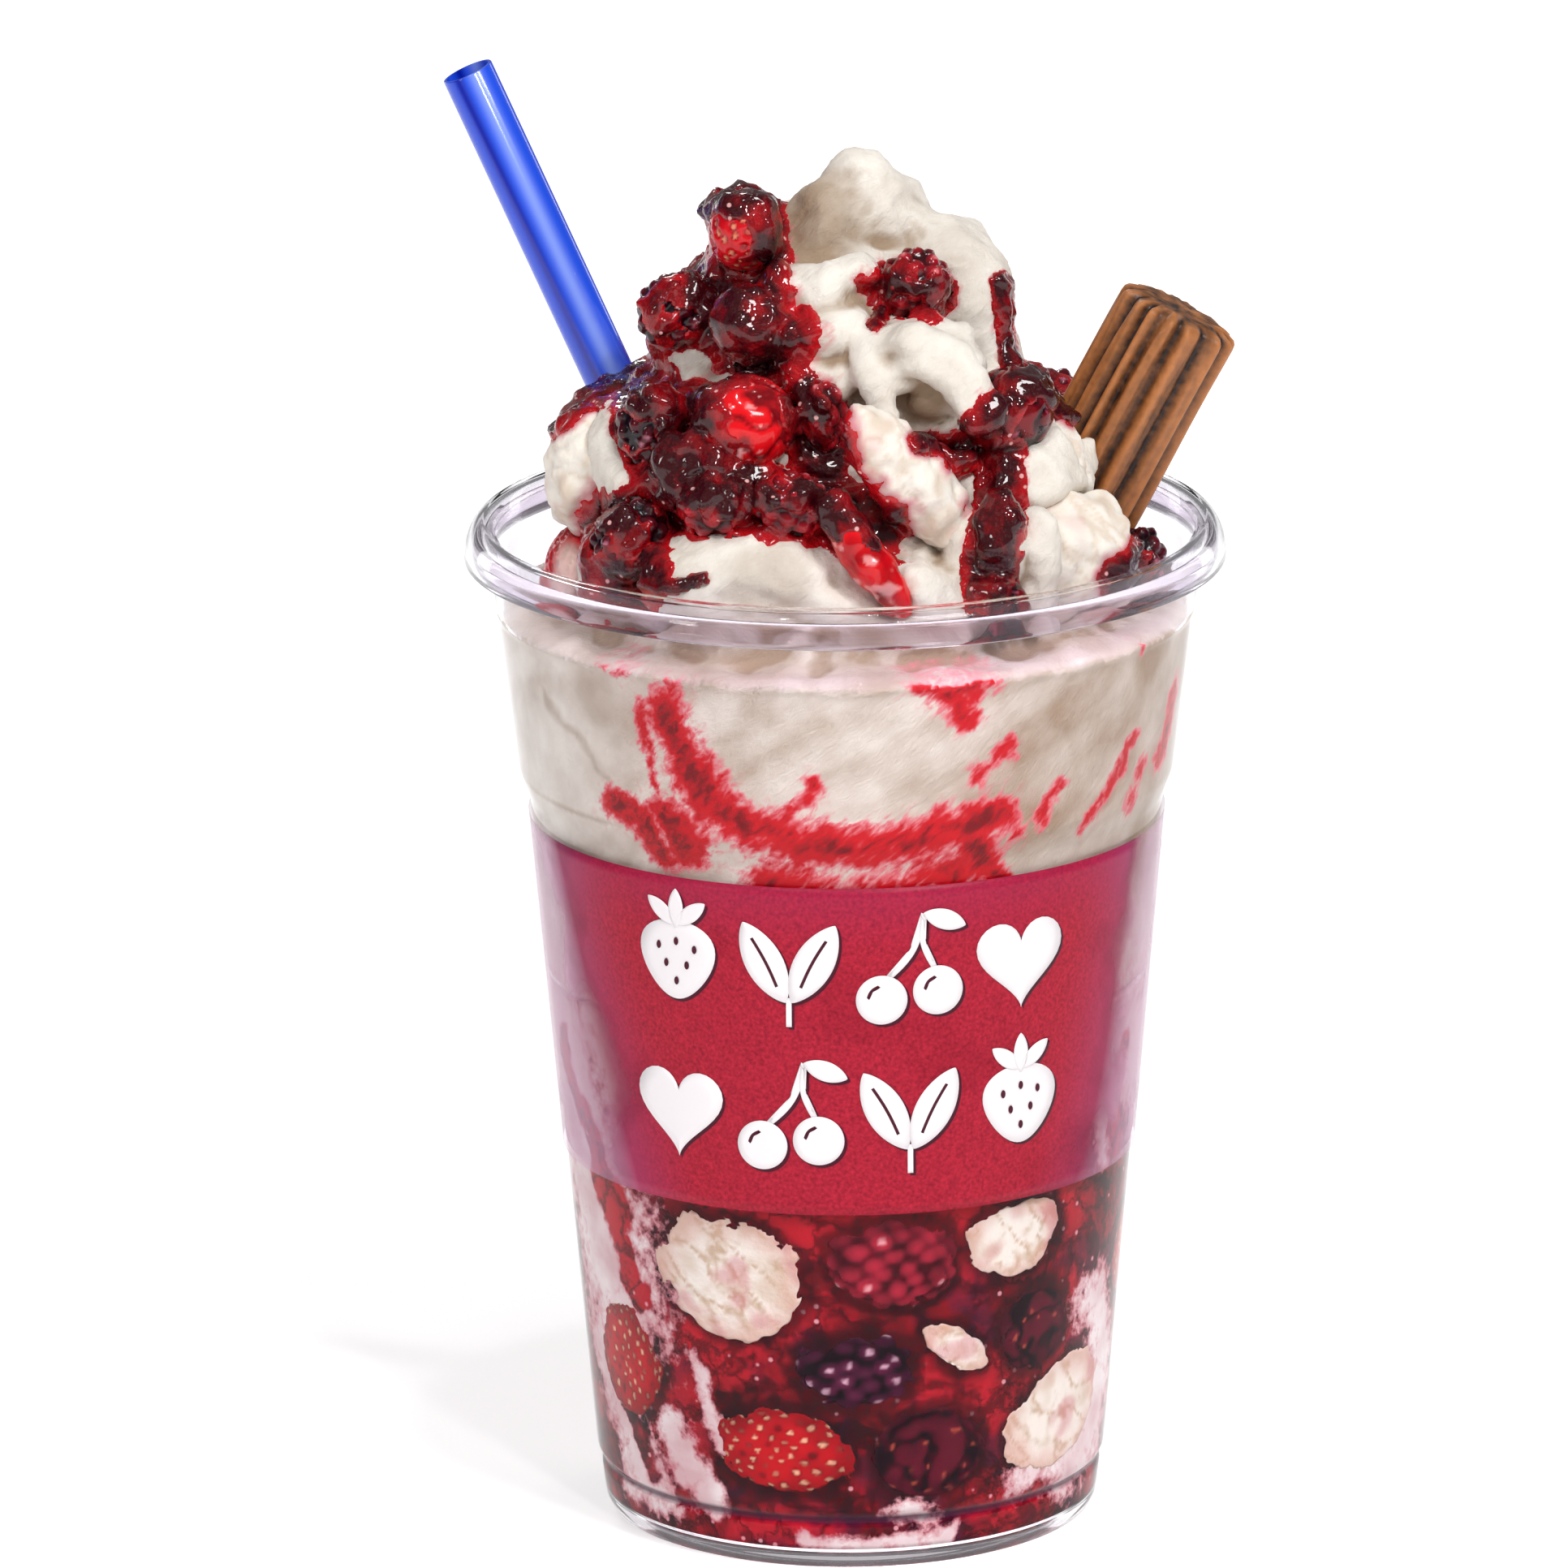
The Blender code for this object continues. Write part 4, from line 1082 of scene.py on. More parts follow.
# painted shade in the mound's hollows, over a light shade everywhere
shade_and_mark_tone = np.where(at_wall, wall_shade_tone, 0.13 + 0.87 * ease(shaded_pits, -0.1, 0.65))
for radius, strength, centre in SHADED:
    far = np.linalg.norm(spots - np.array(centre), axis=1) / radius
    shade_and_mark_tone = np.maximum(shade_and_mark_tone, shade_and_mark_tone * 0.4 + strength * (1 - ease(far, 0.5, 1.1)))
tan = streak_cover(spots, TAN_STREAKS)
# painted shade on the cream under the rim
under_rim = ease(spots[:, 2], 113, 118.5) * (1 - ease(spots[:, 2], 122, 128)) * ease(radial, 32, 37)
shade_and_mark_tone = np.maximum(shade_and_mark_tone, under_rim * (0.6 + 0.2 * bumps(spots, 7, 2, seed=33)))
# painted shade of the moulded rings, laid in with the tan streaks
for ring in MOULD_RINGS:
    tan = np.maximum(tan, 0.75 * (1 - ease(np.abs(spots[:, 2] - ring), 0.1, 0.55)))
shade_and_mark_tone = np.where(at_wall, np.maximum(shade_and_mark_tone, tan * 0.8), shade_and_mark_tone)
paint(cream_mesh, "painted_cream_shade", shade_and_mark_tone)
edge_pink = ease(depth, -0.3, 0.1) * (1 - 0.8 * ease(radial, 33, 38))
low_blush = 0.5 * (1 - ease(spots[:, 2], LAYER_SPLIT, LAYER_SPLIT + 14))
wall_pink = np.maximum(streak_cover(spots, STREAKS, 1.0, 1.5) * 0.7, low_blush)
paint(cream_mesh, "stain", np.where(above, edge_pink * 0.65, wall_pink))
paint(cream_mesh, "streak", np.where(at_wall, streak_cover(spots, STREAKS), 0))
to_object("whipped_cream_folds", cream_mesh, cream, "whipped_cream")
print("cream faces:", len(cream_mesh.polygons))

# %% [markdown]
# ## Compote
#
# Low in the cup the berries have broken down in their juice, with cream and crumbs of meringue
# pushed through them. Against the wall it shows as dark red sauce with pale patches. The layer is a
# turned solid that reaches just into the wall, and its colours are painted from named patches.

# %% Pips in the sauce
def pale_pips_and_glints(material, where, pitch, core, strength, left_out):
    """How strongly small pale pips show, drawn bright enough to double as painted highlight specks: one in
    each cell of so many mm, apart from the share left out.
    """
    cells = add(material, "TexVoronoi", {"Vector": where, "Scale": 1 / (pitch * MM)})
    parts = add(material, "SeparateColor", {"Color": cells.outputs["Color"]})
    dot = add(material, "MapRange", [cells.outputs["Distance"], core, 0.2, strength, 0.0])
    few = add(material, "Math", [parts, left_out], operation="GREATER_THAN")
    return add(material, "Math", [dot, few], operation="MULTIPLY")


# %% Compote material
compote, compote_shader = new_material("stewed_berries", Roughness=0.5, IOR=1.42, Specular_IOR_Level=0.04)
where = add(compote, "TexCoord").outputs["Object"]
pale, bright, ring, shade_round_pieces, milk = (
    add(compote, "Attribute", attribute_name=n).outputs["Fac"]
    for n in ("pale", "bright", "ring", "shade_round_pieces", "milk")
)
thready = {"Vector": where, "Scale": 1 / (1.8 * MM), "Detail": 6.0, "Roughness": 0.65}
threads = add(compote, "TexNoise", thready)
bent = add(compote, "Mix", {0: 0.006, 6: where, 7: threads.outputs[1]}, data_type="RGBA", blend_type="ADD")
broken = add(compote, "TexVoronoi", {"Vector": bent, "Scale": 1 / (5.5 * MM)})
gaps = add(compote, "TexVoronoi", {"Vector": bent, "Scale": 1 / (5.5 * MM)}, feature="DISTANCE_TO_EDGE")
clots = add(compote, "TexNoise", {"Vector": where, "Scale": 1 / (7 * MM), "Detail": 4.0})
clot_parts = add(compote, "SeparateColor", {"Color": clots.outputs[1]})
shift = add(compote, "MapRange", [threads, 0.3, 0.7, -0.3, 0.3])
which = add(compote, "SeparateColor", {"Color": broken.outputs["Color"]})
cell_tone = add(compote, "MapRange", {0: which, 3: -0.25, 4: 0.25})
clot_tone = add(compote, "MapRange", [clots, 0.35, 0.65, 0.1, 0.9])
plain_tone = add(compote, "Math", [cell_tone, clot_tone], operation="ADD")
flesh_tone = add(compote, "Math", [plain_tone, shift], operation="ADD", use_clamp=True)
flesh = add(compote, "Mix", {0: flesh_tone, 6: colour("#30050C"), 7: colour("#A01020")}, data_type="RGBA")
purple = add(compote, "MapRange", [clot_parts.outputs[1], 0.5, 0.62, 0.0, 0.6])
lit = add(compote, "Math", [bright, shift], operation="ADD")
lit_cut = add(compote, "MapRange", [lit, 0.15, 0.85])
gap_width = add(compote, "MapRange", [clot_parts, 0.4, 0.6, 0.04, 0.2])
near_gap = add(compote, "MapRange", [gaps.outputs["Distance"], 0.0, gap_width, 0.8, 0.0])
# pale pips, which double as painted highlight specks
pips_and_glints = pale_pips_and_glints(compote, where, 1.9, 0.12, 0.8, 0.68)
berries = flesh
for share, code in (
    (purple, "#3E1230"),
    (lit_cut, "#BC1828"),
    (near_gap, "#1C0208"),
    (pips_and_glints, "#E8A0A8"),
    (shade_round_pieces, "#1E030A"),
):
    berries = add(compote, "Mix", {0: share, 6: berries, 7: colour(code)}, data_type="RGBA")
edge = add(compote, "Math", [pale, shift], operation="ADD")
sharp = add(compote, "MapRange", [edge, 0.36, 0.58])
body_tone = add(compote, "MapRange", [clots, 0.35, 0.65])
creamy = add(compote, "Mix", {0: body_tone, 6: colour("#F0E4E2"), 7: colour("#D8B4B6")}, data_type="RGBA")
margin = add(compote, "MapRange", [edge, 0.5, 0.85, 0.8, 0.0])
for share, code in ((milk, "#E4CCCA"), (margin, "#C25A6A")):
    creamy = add(compote, "Mix", {0: share, 6: creamy, 7: colour(code)}, data_type="RGBA")
both = add(compote, "Mix", {0: sharp, 6: berries, 7: creamy}, data_type="RGBA")
grooved = add(compote, "Mix", {0: ring, 6: both, 7: colour("#3A1030")}, data_type="RGBA")
link(compote, grooved, compote_shader, "Base Color")

# %% Compote mesh
PALE_PATCHES = [
    # (width in mm, strength, path of (bearing, height))
    (8.0, 1.0, [(-78, 68), (-70, 56), (-66, 44), (-60, 33)]),
    (6.0, 0.9, [(-56, 69), (-52, 62)]),
    (3.0, 1.0, [(-70, 24), (-58, 12), (-50, 8)]),
    (1.8, 1.0, [(-44, 17), (-40, 11), (-34, 9)]),
    (1.2, 0.9, [(-36, 26), (-33, 20), (-31, 15)]),
    (1.6, 0.9, [(13, 9), (17, 8)]),
    (3.6, 1.0, [(66, 30), (72, 22), (70, 12), (60, 9)]),
    (8.0, 0.95, [(62, 69), (76, 62)]),
    (2.0, 0.9, [(60, 56), (66, 50)]),
    (1.0, 0.9, [(-12, 3.8), (0, 3.6), (14, 3.8), (24, 4.4)]),
    (1.4, 0.8, [(-66, 6), (-48, 5)]),
    (1.8, 0.8, [(40, 9.5), (52, 10)]),
]
BRIGHT_PATCHES = [
    (5.0, 1.0, [(-16, 47), (-4, 45), (6, 47), (22, 46)]),
    (3.0, 0.9, [(-12, 36), (-6, 40)]),
    (2.4, 0.8, [(6, 22), (14, 24), (30, 22)]),
    (3.0, 0.8, [(-60, 32), (-48, 22), (-40, 13)]),
    (2.6, 1.0, [(-38, 30), (-27, 28)]),
    (2.0, 0.8, [(-28, 6), (-10, 5)]),
    (2.4, 0.8, [(36, 6), (48, 7)]),
    (3.0, 0.6, [(26, 24), (44, 26), (56, 32)]),
    (1.6, 1.0, [(-64, 56), (-56, 47), (-50, 36)]),
    (3.0, 1.0, [(-77, 67), (-72, 59), (-64, 52), (-56, 44)]),
    (2.6, 1.0, [(-64, 47), (-57, 40), (-51, 34)]),
    (2.6, 1.0, [(70, 66), (66, 58), (69, 50)]),
    (3.0, 0.7, [(46, 52), (54, 44)]),
]
RED_ON_PALE = [
    (1.3, 1.0, [(-76, 63), (-72, 58), (-64, 52), (-56, 44)]),
    (1.1, 1.0, [(-64, 47), (-57, 40), (-51, 34)]),
    (0.8, 1.0, [(-60, 19), (-54, 12), (-50, 9)]),
    (1.1, 1.0, [(70, 63), (66, 57), (69, 50)]),
]
PRESS_DEPTH = 3.3  # mm of a soft piece's depth that the wall has flattened
CUT_FINELY = ("SUBSURF", {"levels": 2, "render_levels": 2})


def wall_marks(names):
    """A search tree of the points where the named pieces lie against the wall."""
    found = []
    for name in names:
        dense = evaluated(packed_mesh(name), name + "_dense", [CUT_FINELY])
        marks = points_of(dense)
        radial = np.hypot(marks[:, 0], marks[:, 1])
        reach = inner_radius(marks[:, 2])
        marks[:, :2] *= (reach / np.maximum(radial, 0.1))[:, None]
        found.append(marks[radial > reach - PRESS_DEPTH])
    found = np.concatenate(found)
    tree = KDTree(len(found))
    for k, mark in enumerate(found):
        tree.insert(mark, k)
    tree.balance()
    return tree


NOT_AT_WALL = ("cup", "printed_band", "berry_compote")
GROOVE = 6.9  # mm up, where the moulded groove above the base shades what is behind it
COMPOTE_SIDES = 400
marks = wall_marks([n for n in nodes if n not in NOT_AT_WALL and top_of(n) < LAYER_SPLIT])
rows = np.linspace(FLOOR_TOP + WALL - 0.2, LAYER_SPLIT + 0.2, 112)
compote_line = [(float(inner_radius(z)) + SINK, float(z)) for z in rows]
compote_line = [(AXIS, rows[0]), (15, rows[0])] + compote_line + [(15, rows[-1]), (AXIS, rows[-1])]
compote_mesh = turned("compote", compote_line, COMPOTE_SIDES)
spots = points_of(compote_mesh)
pale_share = streak_cover(spots, PALE_PATCHES, 1.4) - 1.3 * streak_cover(spots, RED_ON_PALE, 1.4)
paint(compote_mesh, "pale", pale_share)
paint(compote_mesh, "bright", streak_cover(spots, BRIGHT_PATCHES, 1.8))
to_piece = np.array([marks.find(p)[2] for p in spots])
to_piece += 0.8 * bumps(spots, 3, 2, seed=72)
# painted shade: a dark halo round each pressed piece
paint(compote_mesh, "shade_round_pieces", 0.8 * (1 - ease(to_piece, 0.6, 2.2)))
paint(compote_mesh, "milk", ease(spots[:, 2], 52, LAYER_SPLIT - 4))
paint(compote_mesh, "ring", 0.85 * (1 - ease(np.abs(spots[:, 2] - GROOVE), 0.25, 0.8)))
to_object("stewed_berries", compote_mesh, compote, "berry_compote")
print("compote faces:", len(compote_mesh.polygons))

# %% [markdown]
# ## Fruit
#
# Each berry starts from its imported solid, which is smoothed and cut finely, so it keeps its place,
# its size and the flat side that the cup has pressed on it. Then its own surface is raised:
# drupelets on raspberries and brambles, pits with seeds on strawberries, and fine wrinkles on the
# stewed cherries. One long slice of strawberry is cut flesh, so it is smooth, with soft streaks. The
# drupelets are set out by the sunflower rule, which spaces points evenly over a ball, and each point
# of the mesh rises as a dome about its nearest one.


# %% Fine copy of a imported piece
def fine_copy(node, voxel=0.42, smooth=3):
    """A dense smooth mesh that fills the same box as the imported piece."""
    source = packed_mesh(node)
    low, high = points_of(source).min(axis=0), points_of(source).max(axis=0)
    mesh = evaluated(source, node + "_fine", [CUT_FINELY] + melt(voxel, smooth))
    spots = points_of(mesh)
    now_low, now_high = spots.min(axis=0), spots.max(axis=0)
    spots = low + (spots - now_low) * (high - low) / (now_high - now_low)
    set_points(mesh, spots)
    return mesh


def press_to_wall(mesh):
    """Flattens what lies near the wall against it, with a ragged edge where sauce laps over it."""
    spots = points_of(mesh)
    lap = PRESS_DEPTH * (0.72 + 0.28 * np.clip(bumps(spots, 3.5, 3, seed=71) * 2, -1, 1))
    radial = np.hypot(spots[:, 0], spots[:, 1])
    reach = inner_radius(spots[:, 2]) + SINK * 1.5
    touching = radial > reach - lap
    spots[:, :2] *= (np.where(touching, reach, radial) / np.maximum(radial, 0.1))[:, None]
    set_points(mesh, spots)
    middle = spots[touching].mean(axis=0)
    sideways = np.array([-middle[1], middle[0]]) / np.hypot(*middle[:2])
    flat = np.c_[(spots[:, :2] - middle[:2]) @ sideways, spots[:, 2] - middle[2]]
    half = np.abs(flat[touching]).max(axis=0)
    outward = np.linalg.norm(flat / half, axis=1) + 0.12 * bumps(spots, 2.5, 2, seed=73)
    # 1 at the outline of the pressed face: fruit darkens there as painted shade that rounds it, meringue
    #                                       takes juice there
    paint(mesh, "margin", ease(outward, 0.5, 1.0))


def sunflower(count):
    """Directions spread evenly over a ball."""
    k = np.arange(count) + 0.5
    fall = np.arccos(1 - 2 * k / count)
    turn = math.pi * (1 + 5**0.5) * k
    return np.c_[np.cos(turn) * np.sin(fall), np.sin(turn) * np.sin(fall), np.cos(fall)]


def nearest_dome(spots, count, seed):
    """How near each point is to its nearest seed, 1 at it and 0 midway, and a random share of that seed."""
    centre = (spots.min(axis=0) + spots.max(axis=0)) / 2
    half = (spots.max(axis=0) - spots.min(axis=0)) / 2
    ways = (spots - centre) / half
    ways /= np.linalg.norm(ways, axis=1)[:, None]
    rng = np.random.default_rng(seed)
    seeds = sunflower(count) + rng.normal(0, 0.4 / math.sqrt(count), (count, 3))
    seeds /= np.linalg.norm(seeds, axis=1)[:, None]
    match = ways @ seeds.T
    angle = np.arccos(np.clip(match.max(axis=1), -1, 1))
    return 1 - angle / (1.9 / math.sqrt(count)), rng.random(count)[match.argmax(axis=1)]


def raised(mesh, spots, heights):
    """Moves each point of a mesh outwards by its own height, and gives back the new points."""
    spots = spots + normals_of(mesh) * heights[:, None]
    set_points(mesh, spots)
    return spots


def surface_area(mesh):
    return sum(p.area for p in mesh.polygons) / MM**2


# %% [markdown]
# A drupelet is a thin wet skin over juice, so it is glossy. A strawberry's skin is softer, and its
# seeds are dull yellow. The gaps between drupelets, the pits round the seeds and the creases of a
# cherry are darkened as painted shade. One attribute, the height of the surface, drives the
# darkening, so one way of building serves every fruit with its own colours. Pale specks on drupelets
# and cherries are painted highlights.


# %% Fruit materials
def fruit_material(name, crown_hex, shaded_valley_hex, seed_and_glint_hex, roughness, gloss=1.0):
    """Wet fruit: a colour on the crowns, painted shade in the gaps and at a pressed outline, and one for
    seeds or painted highlight specks.
    """
    made, shader = new_material(
        name,
        Roughness=roughness,
        IOR=1.42,
        Specular_IOR_Level=0.1 * gloss,
        Coat_Weight=0.6 * gloss,
        Coat_IOR=1.5,
        Coat_Roughness=0.05,
        Subsurface_Weight=0.12,
        Subsurface_Scale=0.002,
        Subsurface_Radius=(1.0, 0.2, 0.15),
    )
    where = add(made, "TexCoord").outputs["Object"]
    crown, seed, margin = (
        add(made, "Attribute", attribute_name=n).outputs["Fac"] for n in ("crown", "seed", "margin")
    )
    mottle = add(made, "TexNoise", {"Vector": where, "Scale": 1 / (3.2 * MM), "Detail": 3.0})
    blotch = add(made, "MapRange", [mottle, 0.3, 0.7, -0.35, 0.25])
    amount = add(made, "Math", [crown, blotch], operation="ADD", use_clamp=True)
    # painted shade towards a pressed piece's outline
    outline_shade = add(made, "Math", [margin, 0.55], operation="MULTIPLY")
    skin = colour(shaded_valley_hex)
    for share, code in ((amount, crown_hex), (seed, seed_and_glint_hex), (outline_shade, shaded_valley_hex)):
        skin = add(made, "Mix", {0: share, 6: skin, 7: colour(code)}, data_type="RGBA")
    link(made, skin, shader, "Base Color")
    return made


ON_MOUND = {
    # fruit: (crown, gap, seed or speck, roughness), where the gap colour is painted shade and a speck is a
    # painted highlight
    "strawberry": ("#CC0E1A", "#6A0610", "#E8906C", 0.3),
    "raspberry": ("#B01222", "#34040C", "#E88A90", 0.3),
    "bramble": ("#5E0A18", "#14020A", "#C8748C", 0.3),
    "cherry": ("#780812", "#1C020A", "#B85870", 0.25),
    "bright": ("#E0101A", "#7A0510", "#FFC0C0", 0.25),
    "cut": ("#C81822", "#8A0A14", "#F0CFC4", 0.3),
}
BEHIND_WALL = {
    # fruit: (crown, gap, seed or speck, roughness), where the gap colour is painted shade and a speck is a
    # painted highlight
    "strawberry": ("#C4121E", "#5A0810", "#F8C098", 0.5),
    "raspberry": ("#C02840", "#420814", "#F4B8BC", 0.5),
    "bramble": ("#6A1E44", "#12030C", "#ECBCCC", 0.5),
    "cherry": ("#5E0C22", "#16020C", "#D05844", 0.5),
}
BEHIND_WALL_GLOSS = 0.05  # fruit pressed on the plastic has no air in front of it, so it barely shines
on_mound = {k: fruit_material("wet_" + k, *v) for k, v in ON_MOUND.items()}
behind_wall = {k: fruit_material("pressed_" + k, *v, BEHIND_WALL_GLOSS) for k, v in BEHIND_WALL.items()}

# %% Raise each fruit
DRUPELET = 2.5  # mm across
DRUPELET_HEIGHT = 0.95
SEED_PITCH = 1.8  # mm between a strawberry's seeds
WRINKLE_DEPTH = 0.35
HEXAGON = 0.87  # the area of a hexagon one unit across, which is the room that one dome takes
BRIGHT = ("cherry_bright", "cherry_back", "strawberry_slice_long")
CUT = "strawberry_wedge_left"  # its cut face shows, pale in the middle
SLICE = "strawberry_slice_long"


def raise_drupelets(mesh, seed):
    spots = points_of(mesh)
    count = max(24, int(surface_area(mesh) / (DRUPELET**2 * HEXAGON)))
    near, share = nearest_dome(spots, count, seed)
    dome = np.sqrt(np.clip(near, 0, 1))
    raised(mesh, spots, DRUPELET_HEIGHT * (dome - 0.75))
    # painted shade: the gaps between drupelets are darker in the colour
    paint(mesh, "crown", dome * (0.65 + 0.45 * share))
    # pale specks on a few drupelet tops: painted highlights
    paint(mesh, "seed", ease(dome, 0.8, 0.9) * (share > 0.72) * 0.75)


def sink_seeds(mesh, seed):
    spots = points_of(mesh)
    count = max(30, int(surface_area(mesh) / (SEED_PITCH**2 * HEXAGON)))
    near, share = nearest_dome(spots, count, seed)
    pit, pip = ease(near, 0.25, 0.6), ease(near, 0.56, 0.7)
    raised(mesh, spots, -0.35 * pit + 0.3 * pip + 0.15 * bumps(spots, 4, seed=seed))
    # painted shade in the pits round the seeds
    paint(mesh, "crown", 1 - 0.6 * pit)
    paint(mesh, "seed", pip * ease(share, 0.1, 0.6) * 0.85)


def wrinkle(mesh, seed):
    spots = points_of(mesh)
    lines = np.abs(bumps(spots, 3.4, 2, seed=seed))
    spots = raised(mesh, spots, WRINKLE_DEPTH * (1 - np.exp(-lines * 6)) - 0.2)
    # painted shade in the creases
    paint(mesh, "crown", ease(lines, 0.02, 0.35))
    # pale specks over the skin: painted highlights
    paint(mesh, "seed", ease(bumps(spots, 1.1, seed=seed + 90), 0.52, 0.62) * 0.6)


def glaze(mesh, seed):
    """A smooth cut slice with soft streaks in its flesh."""
    spots = points_of(mesh)
    spots = raised(mesh, spots, 0.3 * bumps(spots, 2.8, 2, seed=seed))
    paint(mesh, "crown", 0.75 + 0.6 * bumps(spots, 3.0, 2, seed=seed + 1))
    paint(mesh, "seed", 0.5 * ease(bumps(spots, 2.2, 2, seed=seed + 2), 0.35, 0.6))


SURFACES = {
    "strawberry": sink_seeds,
    "raspberry": raise_drupelets,
    "bramble": raise_drupelets,
    "cherry": wrinkle,
}
fruit_names = sorted(n for n in nodes if n.startswith(tuple(SURFACES)))
mound_meshes = []
for number_of_fruit, node in enumerate(fruit_names):
    kind = node.split("_")[0]
    mesh = fine_copy(node, 0.3 if kind == "strawberry" else 0.42)
    raise_surface = glaze if node == SLICE else SURFACES[kind]
    raise_surface(mesh, number_of_fruit)
    low_down = top_of(node) < LAYER_SPLIT
    if low_down:
        press_to_wall(mesh)
    else:
        mound_meshes.append(mesh)
    if node == CUT:
        flat = front_view(points_of(mesh))
        face = np.linalg.norm((flat - flat.mean(axis=0)) / np.ptp(flat, axis=0) * 2, axis=1)
        mesh.attributes.remove(mesh.attributes["seed"])
        paint(mesh, "seed", 0.9 * (1 - ease(face, 0.35, 0.75)))
    finish = behind_wall if low_down else on_mound
    look = "bright" if node in BRIGHT else "cut" if node == CUT else kind
    to_object(node + "_fruit", mesh, finish[look], node)
print("pieces of fruit:", len(fruit_names))

# %% [markdown]
# ## Meringue
#
# Meringue is whisked egg white baked dry. Broken, it shows a matt, chalky crumb with small holes and
# biscuit-coloured edges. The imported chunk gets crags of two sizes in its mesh, and the finest pores
# are left to the material.

# %% Meringue material
meringue, meringue_shader = new_material(
    "baked_meringue", Roughness=0.72, IOR=1.45, Subsurface_Weight=0.15, Subsurface_Scale=0.0015
)
where = add(meringue, "TexCoord").outputs["Object"]
toast_and_hollow_shade, stained, margin = (
    add(meringue, "Attribute", attribute_name=n).outputs["Fac"] for n in ("toast_and_hollow_shade", "stain", "margin")
)
crumb = add(meringue, "TexNoise", {"Vector": where, "Scale": 1 / (0.9 * MM), "Detail": 4.0})
edge_wet = add(meringue, "Math", [margin, 0.7], operation="MULTIPLY")
dipped = colour("#F1E9DE")
for share, code in ((toast_and_hollow_shade, "#BC9468"), (edge_wet, "#D4A08C"), (stained, "#C86070")):
    dipped = add(meringue, "Mix", {0: share, 6: dipped, 7: colour(code)}, data_type="RGBA")
pores = add(meringue, "Bump", {"Height": crumb, "Strength": 0.4, "Distance": 0.0004})
link(meringue, dipped, meringue_shader, "Base Color")
link(meringue, pores, meringue_shader, "Normal")

# %% Meringue meshes
CRAG_SHARE = 0.11  # how high a crag is for the size of its chunk
GRAIN_HEIGHT = 0.22
CRACK_FRAME = np.array([[0.7, 0.2, -0.7], [0.7, 0, 0.7], [0, 1, 0]])  # cracks run down to the right
CRACK_STRETCH = np.array([0.3, 1.0, 0.5])
meringue_names = sorted(n for n in nodes if n.startswith(("meringue", "almond")))
for number_of_chunk, node in enumerate(meringue_names):
    mesh = fine_copy(node, voxel=0.5, smooth=2)
    spots = points_of(mesh)
    size = float((spots.max(axis=0) - spots.min(axis=0)).min())
    crag = np.abs(bumps(spots, size * 0.4, 2, seed=number_of_chunk + 20))
    grain = bumps(spots, 1.6, 2, seed=number_of_chunk + 40)
    spots = raised(mesh, spots, size * CRAG_SHARE * (crag - 0.25) + GRAIN_HEIGHT * grain)
    low_down = top_of(node) < LAYER_SPLIT
    # painted shade: the crumb's hollows darken to biscuit, along with real toasted patches and cracks
    shaded_pits = ease(cavity(mesh, 20), 0.0, 0.55)
    slant = spots @ CRACK_FRAME.T
    cracks = 1 - ease(np.abs(bumps(slant * CRACK_STRETCH, 3.5, 3, seed=62)), 0.0, 0.16)
    broad = 0.4 * ease(bumps(spots, 5, 2, seed=60), 0.1, 0.6)
    cracks *= 0.75 if low_down else 0.35
    paint(mesh, "toast_and_hollow_shade", np.maximum(0.75 * shaded_pits, np.maximum(broad, cracks)))
    wet = ease(bumps(spots, 5, 2, seed=61), 0.15, 0.6)
    if low_down:
        paint(mesh, "stain", wet * 0.45)
        press_to_wall(mesh)
    else:
        sauced = ease(sauce_depth(spots, normals_of(mesh)), -0.35, 0.15)
        paint(mesh, "stain", np.maximum(sauced, wet * 0.2))
        mound_meshes.append(mesh)
    to_object(node + "_chunk", mesh, meringue, node)
print("pieces of meringue:", len(meringue_names))

# %% [markdown]
# ## Sauce
#
# The sauce is cooked berries and sugar: glossy, nearly black where it lies thick and clear red where
# it is thin, with soft lumps of pulp and a few pale pips in it, which are drawn pale enough to serve as
# painted highlight specks too. It was poured last, so it lies over cream, fruit and meringue alike.
# All of them are melted into one smoothed skin, which is lifted by the sauce's depth and sunk at its
# edges, so that its outline is where it dips under what it lies on. On the fruit it is thin and
# patchy, and the berries show through it.

# %% Sauce material
sauce, sauce_shader = new_material(
    "berry_sauce",
    Roughness=0.3,
    IOR=1.4,
    Specular_IOR_Level=0.1,
    Coat_Weight=0.7,
    Coat_IOR=1.5,
    Coat_Roughness=0.05,
)
where = add(sauce, "TexCoord").outputs["Object"]
thick = add(sauce, "Attribute", attribute_name="thick").outputs["Fac"]
pulp = add(sauce, "TexNoise", {"Vector": where, "Scale": 1 / (2.2 * MM), "Detail": 4.0, "Roughness": 0.6})
clots = add(sauce, "TexNoise", {"Vector": where, "Scale": 1 / (5.5 * MM), "Detail": 2.0})
uneven = add(sauce, "MapRange", [pulp, 0.35, 0.65, -0.2, 0.2])
broad = add(sauce, "MapRange", [clots, 0.35, 0.65, -0.3, 0.2])
both_noises = add(sauce, "Math", [uneven, broad], operation="ADD")
density = add(sauce, "Math", [thick, both_noises], operation="ADD", use_clamp=True)
dark = add(sauce, "Mix", {0: density, 6: colour("#BC0E18"), 7: colour("#38050C")}, data_type="RGBA")
grains = add(sauce, "TexNoise", {"Vector": where, "Scale": 1 / (0.9 * MM), "Detail": 2.0})
heights = add(sauce, "Math", [pulp, grains], operation="ADD")
lumps = add(sauce, "Bump", {"Height": heights, "Strength": 0.8, "Distance": 0.0007})
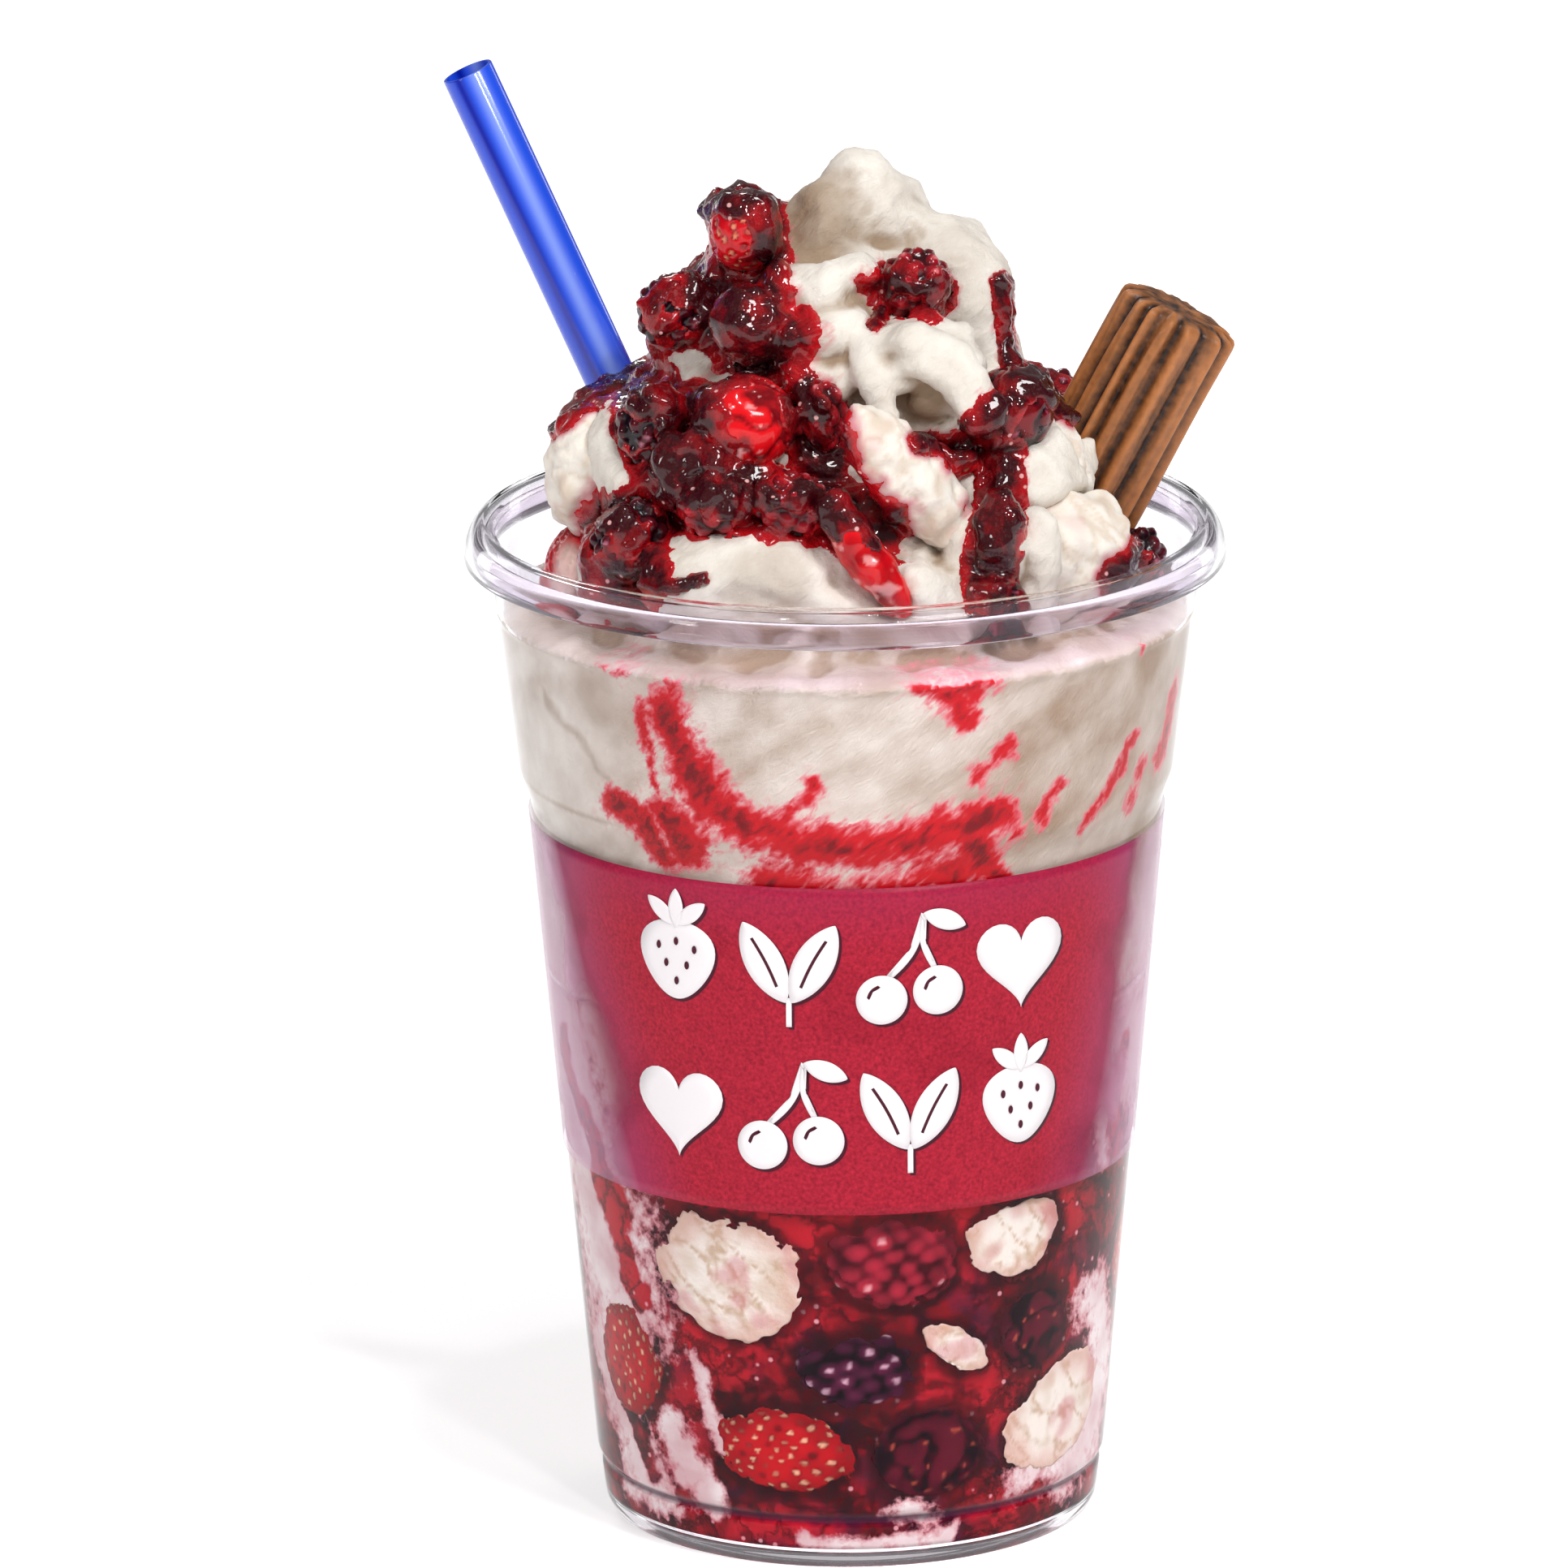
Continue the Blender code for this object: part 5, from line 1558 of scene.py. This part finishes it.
# pale pips, which double as painted highlight specks
pips_and_glints = pale_pips_and_glints(sauce, where, 1.7, 0.13, 0.85, 0.72)
seedy = add(sauce, "Mix", {0: pips_and_glints, 6: dark, 7: colour("#F0B4B0")}, data_type="RGBA")
link(sauce, seedy, sauce_shader, "Base Color")
link(sauce, lumps, sauce_shader, "Normal")

# %% Skin over everything on the mound
SKIN_VOXEL = 0.55
skin = evaluated(joined("mound_parts", [cream_mesh] + mound_meshes), "mound_skin", melt(SKIN_VOXEL, 5))
spots, out = points_of(skin), normals_of(skin)
depth = sauce_depth(spots, out)
on_fruit = np.zeros(len(spots))
for name in fruit_names:
    if top_of(name) > CREAM_LEVEL:
        on_fruit = np.maximum(on_fruit, 1 - ease(share_of_box(spots, name), 0.86, 1.12))
patchy = bumps(spots, 3.6, 2, seed=14)
depth = depth - on_fruit * (0.42 - 0.8 * patchy)
depth = np.where(spots[:, 2] < CREAM_LEVEL - 1, -1, depth)
print("points of the skin:", len(spots))

# %% Sauce mesh
SAUCE_THICKNESS = 0.85
SAUCE_ON_FRUIT = 0.35
SUNK = 0.5
SHEET_THICKNESS = 0.6
EDGE_DEPTH = -0.14  # the sauce depth past which no sheet is kept
keep = depth > EDGE_DEPTH
pulp_lumps = bumps(spots, 2.4, 2, seed=12)
top = SAUCE_THICKNESS + (SAUCE_ON_FRUIT - SAUCE_THICKNESS) * on_fruit
rise = -SUNK + (0.2 + SUNK) * ease(depth, -0.12, 0.08) + (top - 0.2) * ease(depth, 0, 0.8)
rise += 0.9 * np.maximum(pulp_lumps, -0.4) * ease(depth, 0, 0.5) * (1 - 0.7 * on_fruit)
sauce_spots = spots + out * rise[:, None]
faces = [np.array(polygon.vertices) for polygon in skin.polygons]
kept_faces = [f for f in faces if keep[f].all()]
used = np.unique(np.concatenate(kept_faces))
number = np.full(len(spots), -1)
number[used] = np.arange(len(used))
sheet = mesh_of("sauce_sheet", sauce_spots[used], [number[f] for f in kept_faces])
thickened = ("SOLIDIFY", {"thickness": SHEET_THICKNESS * MM, "offset": -1.0})
sauce_mesh = evaluated(sheet, "berry_sauce", [thickened])
values = ease(depth[used] + 0.2 * on_fruit[used], -0.15, 0.6)
paint(sauce_mesh, "thick", np.resize(values, len(sauce_mesh.vertices)))
to_object("berry_sauce", sauce_mesh, sauce)
print("sauce faces:", len(sauce_mesh.polygons))
